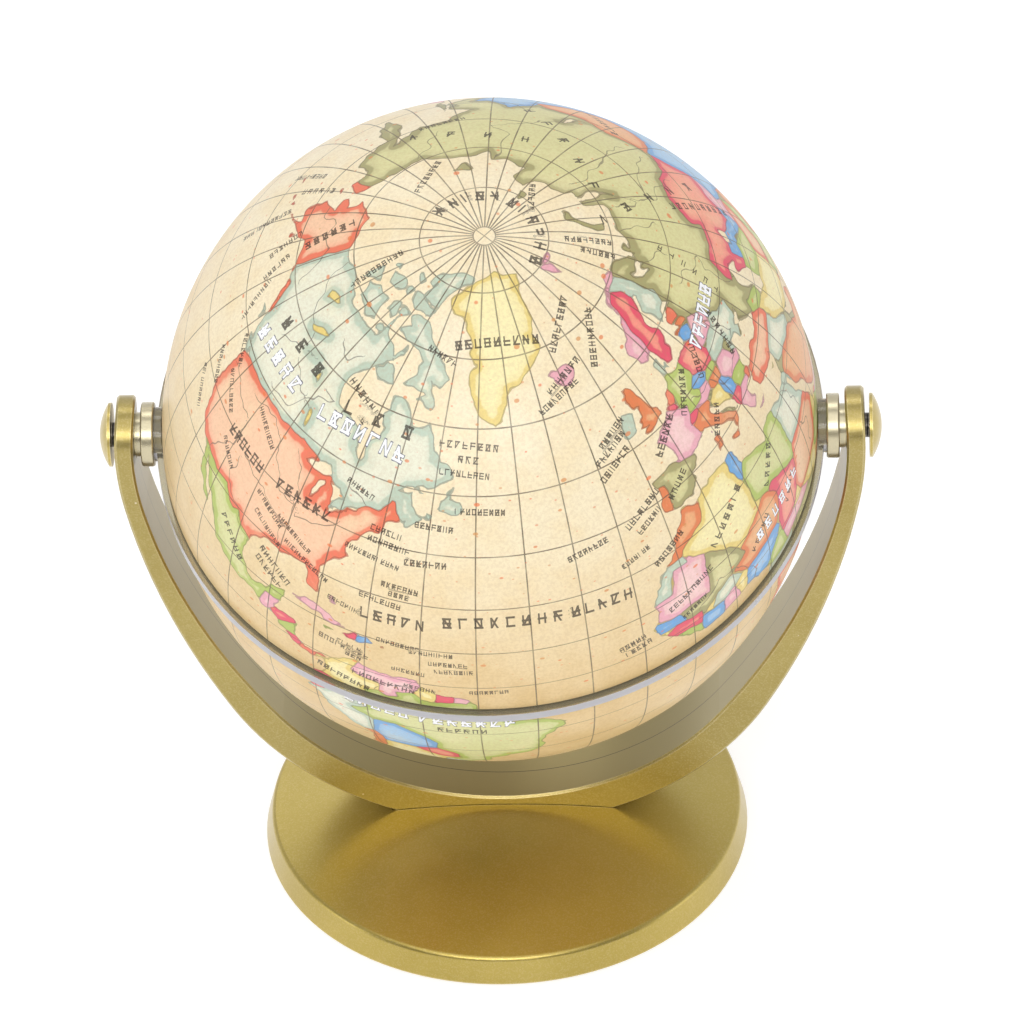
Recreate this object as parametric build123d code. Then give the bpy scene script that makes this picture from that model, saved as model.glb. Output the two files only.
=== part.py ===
from build123d import *
from math import asin, cos, hypot, radians, sin, sqrt
import os

# Desktop globe on a U-arm stand. Millimetres, +Z up, the stand stands on z = 0.
# X runs along the two pivots, -Y is the front, and the north pole leans to the front.

# ---- driving dimensions -------------------------------------------------------
globe_d = 106.0          # outside diameter of the printed ball
globe_wall = 1.2         # wall of each moulded hemisphere
pivot_z = 85.0           # height of the two pivots, and of the centre of the ball
polar_lean = 19.0        # degrees the polar axis leans from the vertical

ring_t = 1.9             # thickness of the clear equator ring
ring_proud = 1.05        # how far the ring stands out of the ball
ring_depth = 4.0         # how far the ring reaches in behind the ball's surface
rim_land_t = 2.0         # thickness of the inward land on each hemisphere's rim
sleeve_wall = 1.8        # wall of the sleeve that joins the hemispheres
sleeve_h = 13.0          # length of that sleeve along the polar axis

boss_r = 4.4             # clear boss on the ring at each pivot
boss_proud = 0.3         # how far the boss stands out of the ring
flange_r = 5.25          # satin metal flange bonded to the boss
flange_t = 2.1
spacer_r = 3.6
spacer_t = 0.9
washer_r = 3.4
washer_t = 0.2
shank_r = 2.0            # black pivot screw
shank_gap = 0.7          # bare length of shank between the arm and the cap
cap_r = 5.2
cap_rim_t = 0.5
cap_dome_h = 1.5
cap_wall = 0.9
tang_t = 0.8             # blade of the flange, moulded into the ring
tang_w = 5.0
tang_len = 2.6

arm_w = 12.8             # width of the arm strip, front to back
arm_tip_t = 3.0          # radial thickness of the arm at the pivots
arm_drop = 73.8          # depth of the U below the pivots, inside
arm_low_r = 45.5         # inside radius of the bottom of the U
arm_side_r = 110.0       # inside radius of the slack curve of each side
arm_low_t = 6.2          # radial thickness at the bottom of the U
arm_low_grow = 5.1       # how much larger the outside bottom radius is than the inside one
arm_side_grow = 30.0     # the same for the side curves
arm_bevel = 0.35
bush_wall = 1.0
dowel_r = 0.8
dowel_len = 8.0

base_r = 40.5            # radius of the base at the table
base_top_r = 39.3        # radius at the top of the skirt
base_edge_z = 4.9        # height of the top of the skirt
base_crown_z = 9.8       # height of the crown of the dome
base_wall = 1.8
base_edge_round = 0.9
skirt_lift = 0.3         # the skirt hangs this far above the table
felt_t = 1.0
cover_t = 1.6
ballast_top = 5.5
pad_r = 14.0             # raised pad of the ballast, where the arm stands
arm_seat_z = 6.6
foot_screw_r = 1.25
foot_screw_x = 8.0
foot_screw_len = 3.2     # grip of each foot screw in the arm
base_screw_r = 1.3
base_boss_r = 3.0
screw_head_h = 1.2

# ---- named clearances ---------------------------------------------------------
running = 0.05           # radial running fit of pivots and of the spinning ball
face_gap = 0.05          # axial play between washer and arm
slot_gap = 0.10          # arm in the slot of the base
drop_in = 0.15           # cover and felt in the skirt
ballast_gap = 0.15       # ballast clear of the dome
post_gap = 0.8           # screw posts clear of the ballast
ring_play = 0.3          # each hemisphere rim clear of the ring
boss_gap = 0.15          # pivot boss clear of the ball
screw_gap = 0.15         # shank in a plain hole

# ---- values that follow -------------------------------------------------------
globe_r = globe_d / 2
ring_out_r = globe_r + ring_proud
ring_in_r = globe_r - ring_depth
sleeve_r = ring_in_r - running
rim_z = ring_t / 2 + ring_play
flange_x = ring_out_r + boss_proud
spacer_x = flange_x + flange_t
washer_x = spacer_x + spacer_t
arm_in_r = washer_x + washer_t + face_gap
arm_out_r = arm_in_r + arm_tip_t
cap_x = arm_out_r + shank_gap
bush_bore_r = shank_r + running
bush_r = bush_bore_r + bush_wall
bush_out_x = sqrt(arm_out_r ** 2 - bush_r ** 2)
shank_in_x = flange_x + 0.5
shank_out_x = cap_x + cap_rim_t + cap_dome_h - cap_wall
arm_low_drop = arm_drop - arm_low_r
arm_low_out_r = arm_low_r + arm_low_grow
arm_side_out_r = arm_side_r + arm_side_grow
arm_low_out_drop = arm_drop + arm_low_t - arm_low_out_r
cover_z = felt_t
ballast_z = cover_z + cover_t
dome_r = (base_top_r ** 2 + (base_crown_z - base_edge_z) ** 2) / (2 * (base_crown_z - base_edge_z))
dome_in_r = dome_r - base_wall
dome_z = base_crown_z - dome_r
skirt_in_r = base_top_r - base_wall
ballast_r = sqrt(dome_in_r ** 2 - (ballast_top + ballast_gap - dome_z) ** 2)
head_r = 2 * foot_screw_r
base_head_r = 2 * base_screw_r
base_screw_at = ballast_r + base_boss_r + post_gap


def egg(r_top, r_side, r_low, drop):
    """Upright face in the XZ plane: a circle round the pivots, slack sides and a lower circle."""
    to_top = r_side - r_top
    to_low = r_side - r_low
    down = (drop ** 2 - to_low ** 2 + to_top ** 2) / (2 * drop)
    aside = sqrt(to_top ** 2 - down ** 2)
    top_x = r_top * aside / to_top
    top_z = -r_top * down / to_top
    low_x = r_low * aside / to_low
    low_z = r_low * (drop - down) / to_low
    way_x = aside / to_top + aside / to_low
    way_z = down / to_top + (down - drop) / to_low
    mid_x = -aside + r_side * way_x / hypot(way_x, way_z)
    mid_z = -down + r_side * way_z / hypot(way_x, way_z)
    top = (r_top * aside / to_top, pivot_z + r_top * down / to_top)
    low = (r_low * aside / to_low, pivot_z - drop + r_low * (down - drop) / to_low)
    crown = (0, 0, pivot_z + r_top)
    floor = (0, 0, pivot_z - drop - r_low)
    right = [(top[0], 0, top[1]), (mid_x, 0, pivot_z + mid_z), (low[0], 0, low[1])]
    left = [(-x, 0, z) for x, _, z in right]
    return Face(Wire([
        ThreePointArc(left[0], crown, right[0]),
        ThreePointArc(right[0], right[1], right[2]),
        ThreePointArc(right[2], floor, left[2]),
        ThreePointArc(left[2], left[1], left[0]),
    ]))


def thick(face, half):
    """Solid that reaches the same distance to the front and to the back of a face."""
    return extrude(face, amount=half, dir=(0, 1, 0), both=True)


def rod_x(radius, x0, x1):
    """Round bar on the pivot axis between two x positions on the right."""
    return Pos((x0 + x1) / 2, 0, pivot_z) * Rot(0, 90, 0) * Cylinder(radius, x1 - x0)


def rod_z(radius, z0, z1, x=0, y=0):
    """Upright round bar."""
    return Pos(x, y, (z0 + z1) / 2) * Cylinder(radius, z1 - z0)


def rod_y(radius, length, x, z):
    """Round bar that lies front to back."""
    return Pos(x, 0, z) * Rot(90, 0, 0) * Cylinder(radius, length)


def tilted(shape):
    """Put a shape drawn round an upright polar axis at the origin into its place."""
    return Pos(0, 0, pivot_z) * Rot(polar_lean, 0, 0) * shape


def mirrored(shape):
    """The same piece for the left pivot."""
    return mirror(shape, about=Plane.YZ)


def turned(points):
    """Solid of revolution about Z from (radius, z) corners."""
    face = Face(Wire(Polyline(*[(r, 0, z) for r, z in points], close=True).edges()))
    return revolve(face, Axis.Z)


# ---- ball ---------------------------------------------------------------------
# Each moulding is a full half of the ball, and the ring holds the two halves apart.
upper_space = Pos(0, 0, globe_d / 2) * Box(2 * globe_d, 2 * globe_d, globe_d)
half_ball = (Sphere(globe_r) - Sphere(globe_r - globe_wall)) & upper_space
land_out_r = sqrt((globe_r - globe_wall / 2) ** 2 - rim_land_t ** 2)
rim_land = rod_z(land_out_r, 0, rim_land_t) - rod_z(sleeve_r, -rim_land_t, 2 * rim_land_t)
north = Pos(0, 0, rim_z) * (half_ball + rim_land)
south = mirror(north, about=Plane.XY)
sleeve = rod_z(sleeve_r, -sleeve_h / 2, sleeve_h / 2) - rod_z(sleeve_r - sleeve_wall, -sleeve_h, sleeve_h)

# ---- clear ring with its two bosses -------------------------------------------
ring = rod_z(ring_out_r, -ring_t / 2, ring_t / 2) - rod_z(ring_in_r, -ring_t, ring_t)
boss = Pos((ring_in_r + flange_x) / 2, 0, 0) * Rot(0, 90, 0) * Cylinder(boss_r, flange_x - ring_in_r)
boss = boss - Pos(0, 0, rim_z) * Sphere(globe_r + boss_gap)
boss = boss - Pos(0, 0, -rim_z) * Sphere(globe_r + boss_gap)
tang = Pos(flange_x - tang_len / 2, 0, 0) * Box(tang_len, tang_w, tang_t)
ring = ring + boss + mirrored(boss)
ring = ring - tang - mirrored(tang)

# ---- pivots, drawn on the right and mirrored ----------------------------------
flange = rod_x(flange_r, flange_x, spacer_x)
flange = fillet(flange.edges().filter_by(GeomType.CIRCLE), 0.3)
flange = flange + tilted(tang)
flange = flange - rod_x(shank_r, shank_in_x, spacer_x)
spacer = rod_x(spacer_r, spacer_x, washer_x) - rod_x(shank_r, spacer_x, washer_x)
washer = rod_x(washer_r, washer_x, washer_x + washer_t) - rod_x(shank_r, washer_x, washer_x + washer_t)
shank = rod_x(shank_r, shank_in_x, shank_out_x)
cap_apex = (0, 0, cap_rim_t + cap_dome_h)
cap_ball_r = (cap_r ** 2 + cap_dome_h ** 2) / (2 * cap_dome_h)
half_turn = asin(cap_r / cap_ball_r) / 2
cap_side = (cap_ball_r * sin(half_turn), 0, cap_apex[2] - cap_ball_r * (1 - cos(half_turn)))
cap_face = Face(Wire([
    Line((0, 0, 0), (cap_r, 0, 0)),
    Line((cap_r, 0, 0), (cap_r, 0, cap_rim_t)),
    ThreePointArc((cap_r, 0, cap_rim_t), cap_side, cap_apex),
    Line(cap_apex, (0, 0, 0)),
]))
cap = Pos(cap_x, 0, pivot_z) * Rot(0, 90, 0) * revolve(cap_face, Axis.Z)
cap = cap - rod_x(shank_r, cap_x, shank_out_x)
bush = rod_x(bush_r, arm_in_r, bush_out_x) - rod_x(bush_bore_r, arm_in_r, bush_out_x)

# ---- arm ----------------------------------------------------------------------
outer = egg(arm_out_r, arm_side_out_r, arm_low_out_r, arm_low_out_drop)
inner = egg(arm_in_r, arm_side_r, arm_low_r, arm_low_drop)
strip = thick(outer, arm_w / 2) - thick(inner, arm_w)
side_view = Pos(0, 0, pivot_z / 2) * Box(4 * arm_out_r, arm_w, pivot_z) + Pos(0, 0, pivot_z) * Rot(
    0, 90, 0
) * Cylinder(arm_w / 2, 4 * arm_out_r)
seat_cut = Pos(0, 0, arm_seat_z / 2) * Box(globe_d, 2 * arm_w, arm_seat_z)
arm = (strip & side_view) - seat_cut
front_edges = arm.edges().filter_by(Plane.XZ).group_by(Axis.Y)
bevelled = [e for e in front_edges[0] + front_edges[-1] if e.center().Z > base_crown_z + arm_bevel]
arm = chamfer(bevelled, arm_bevel)
for sign in (1, -1):
    spot_x = sign * (arm_in_r - 0.5)
    arm = arm - Pos(spot_x, 0, pivot_z) * Rot(0, 90, 0) * Cylinder(spacer_r + 0.3, 1.0)
    arm = arm - Pos(sign * arm_out_r, 0, pivot_z) * Rot(0, 90, 0) * Cylinder(bush_r, 4 * arm_tip_t)

mid_r = (arm_in_r + arm_out_r) / 2
low_mid_r = (arm_low_r + arm_low_out_r) / 2
low_mid_drop = (arm_low_drop + arm_low_out_drop) / 2
high_dowel = (mid_r * cos(radians(18)), pivot_z - mid_r * sin(radians(18)))
low_dowel = (low_mid_r * cos(radians(40)), pivot_z - low_mid_drop - low_mid_r * sin(radians(40)))
dowel_spots = [(sign * x, z) for sign in (1, -1) for x, z in (high_dowel, low_dowel)]
dowels = [rod_y(dowel_r, dowel_len, x, z) for x, z in dowel_spots]
foot_spots = [(sx * foot_screw_x, sy * arm_w / 4) for sx in (1, -1) for sy in (1, -1)]
foot_screws = []
for x, y in foot_spots:
    head = rod_z(head_r, ballast_z, ballast_z + screw_head_h, x, y)
    foot_screws.append(head + rod_z(foot_screw_r, ballast_z, arm_seat_z + foot_screw_len, x, y))
for dowel in dowels:
    arm = arm - dowel
for x, y in foot_spots:
    arm = arm - rod_z(foot_screw_r, 0, arm_seat_z + foot_screw_len, x, y)
front_box = Pos(0, -globe_d / 2, pivot_z) * Box(2 * globe_d, globe_d, 3 * pivot_z)
arm_front = arm & front_box
arm_rear = arm - front_box

# ---- base ---------------------------------------------------------------------
dome_ball = Pos(0, 0, dome_z) * Sphere(dome_r)
outside = turned([(0, skirt_lift), (base_r, skirt_lift), (base_top_r, base_edge_z),
                  (base_top_r, base_crown_z + 1), (0, base_crown_z + 1)]) & dome_ball
shoulder = outside.edges().filter_by_position(Axis.Z, base_edge_z - 0.1, base_edge_z + 0.1)
outside = fillet(shoulder, base_edge_round)
inside_ball = Pos(0, 0, dome_z) * Sphere(dome_in_r)
inside = rod_z(skirt_in_r, -1, base_crown_z) & inside_ball
base_spots = [(Rot(0, 0, 90 + 120 * i) * Pos(base_screw_at, 0, 0)).position for i in range(3)]
shell = outside - inside
for spot in base_spots:
    post = rod_z(base_boss_r, ballast_z, base_crown_z, spot.X, spot.Y) & outside
    shell = shell + post
slot_face = egg(arm_out_r + slot_gap, arm_side_out_r + slot_gap, arm_low_out_r + slot_gap, arm_low_out_drop)
slot = thick(slot_face, arm_w / 2 + slot_gap)
shell = shell - slot

base_screws = []
for spot in base_spots:
    head = rod_z(base_head_r, cover_z, cover_z + screw_head_h, spot.X, spot.Y)
    stem = rod_z(base_screw_r, cover_z, base_edge_z, spot.X, spot.Y)
    base_screws.append(head + stem)
    shell = shell - rod_z(base_screw_r, 0, base_edge_z, spot.X, spot.Y)

ballast = rod_z(ballast_r, ballast_z, ballast_top) + rod_z(pad_r, ballast_z, arm_seat_z)
for x, y in foot_spots:
    ballast = ballast - rod_z(foot_screw_r + screw_gap, 0, arm_seat_z, x, y)
    ballast = ballast - rod_z(head_r + screw_gap, 0, ballast_z + screw_head_h, x, y)

cover = rod_z(skirt_in_r - drop_in, cover_z, ballast_z)
for spot in base_spots:
    cover = cover - rod_z(base_screw_r + screw_gap, 0, 2 * ballast_z, spot.X, spot.Y)
    cover = cover - rod_z(base_head_r + screw_gap, 0, cover_z + screw_head_h, spot.X, spot.Y)
felt = rod_z(skirt_in_r - drop_in, 0, felt_t)

# ---- write one file for each piece --------------------------------------------
pieces = {
    "base_shell": shell,
    "base_ballast": ballast,
    "base_bottom_cover": cover,
    "felt_pad": felt,
    "base_screws": Compound(children=base_screws),
    "arm_front_half": arm_front,
    "arm_rear_half": arm_rear,
    "arm_dowels": Compound(children=dowels),
    "arm_foot_screws": Compound(children=foot_screws),
    "right_pivot_bush": bush,
    "left_pivot_bush": mirrored(bush),
    "equator_ring": tilted(ring),
    "right_flange": flange,
    "left_flange": mirrored(flange),
    "right_spacer": spacer,
    "left_spacer": mirrored(spacer),
    "right_friction_washer": washer,
    "left_friction_washer": mirrored(washer),
    "right_pivot_screw": shank,
    "left_pivot_screw": mirrored(shank),
    "right_cap": cap,
    "left_cap": mirrored(cap),
    "north_hemisphere": tilted(north),
    "south_hemisphere": tilted(south),
    "coupling_sleeve": tilted(sleeve),
}

os.makedirs("parts", exist_ok=True)
for name, shape in pieces.items():
    export_step(shape, f"parts/{name}.step")
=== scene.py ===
"""Looks of a small desk globe: a printed ball on a clear ring, hung in a gold U-arm on a domed base."""

import math

import bpy
import numpy as np
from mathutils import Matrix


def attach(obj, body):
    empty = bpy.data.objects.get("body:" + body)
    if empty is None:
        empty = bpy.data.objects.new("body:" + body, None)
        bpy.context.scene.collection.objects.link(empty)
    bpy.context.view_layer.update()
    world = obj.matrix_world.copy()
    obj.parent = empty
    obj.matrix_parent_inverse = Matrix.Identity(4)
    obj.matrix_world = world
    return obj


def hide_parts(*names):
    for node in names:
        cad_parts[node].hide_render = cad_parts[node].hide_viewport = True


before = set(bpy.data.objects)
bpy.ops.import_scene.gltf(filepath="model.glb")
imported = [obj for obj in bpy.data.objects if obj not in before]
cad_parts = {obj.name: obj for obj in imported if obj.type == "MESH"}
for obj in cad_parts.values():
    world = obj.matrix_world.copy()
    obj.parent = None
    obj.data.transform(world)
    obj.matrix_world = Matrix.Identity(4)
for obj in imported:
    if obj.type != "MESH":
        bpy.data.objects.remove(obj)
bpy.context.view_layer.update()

MM = 0.001
BALL_R = 53.0
PIVOT_Z = 85.0
LEAN = math.radians(19.0)
RIM_Z = 1.25
RING_R = 54.05
RING_HALF_T = 0.95
SEAM_HALF = 0.07
# Reach of the painted edge highlight on the gold paint, in millimetres.
EDGE_HIGHLIGHT_REACH = 0.35

# The print. The whole map sits a little off the pole. Line widths are half widths in millimetres.
FRONT_LON = -48.6
PRINT_SLIP = (1.14, 1.72)
FAR_MM = 3.0
GRID_STEP = 10.0
LAST_PARALLEL = 85.0
MM_PER_DEGREE = 1.02
MERIDIAN_HALF = 0.11
PARALLEL_HALF = 0.105
POLE_CIRCLE = 1.75
CIRCLE_HALF = 0.1
CROSS_HALF = 0.09
RIVER_HALF = 0.09
BORDER_HALF = 0.13

# Letters are drawn in a box one unit wide and one high.
LETTER_LEFT = 0.16
LETTER_RIGHT = 0.82
LETTER_FOOT = 0.08
LETTER_WAIST = 0.5
LETTER_TOP = 0.92
SLANT_SQUEEZE = 0.83
SMALL_STROKE = 0.1
BIG_STROKE = 0.095
HALO_WIDTH = 0.05

# Degrees from the pole, and where this print puts that parallel: it spreads the polar region.
TRUE_COLAT = list(range(0, 181, 10))
PRINT_COLAT = [0, 11, 22.5, 33.8, 44.8, 55.3, 65.2, 74.7, 83.5, 90]
PRINT_COLAT += [180 - colat for colat in PRINT_COLAT[-2::-1]]

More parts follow.
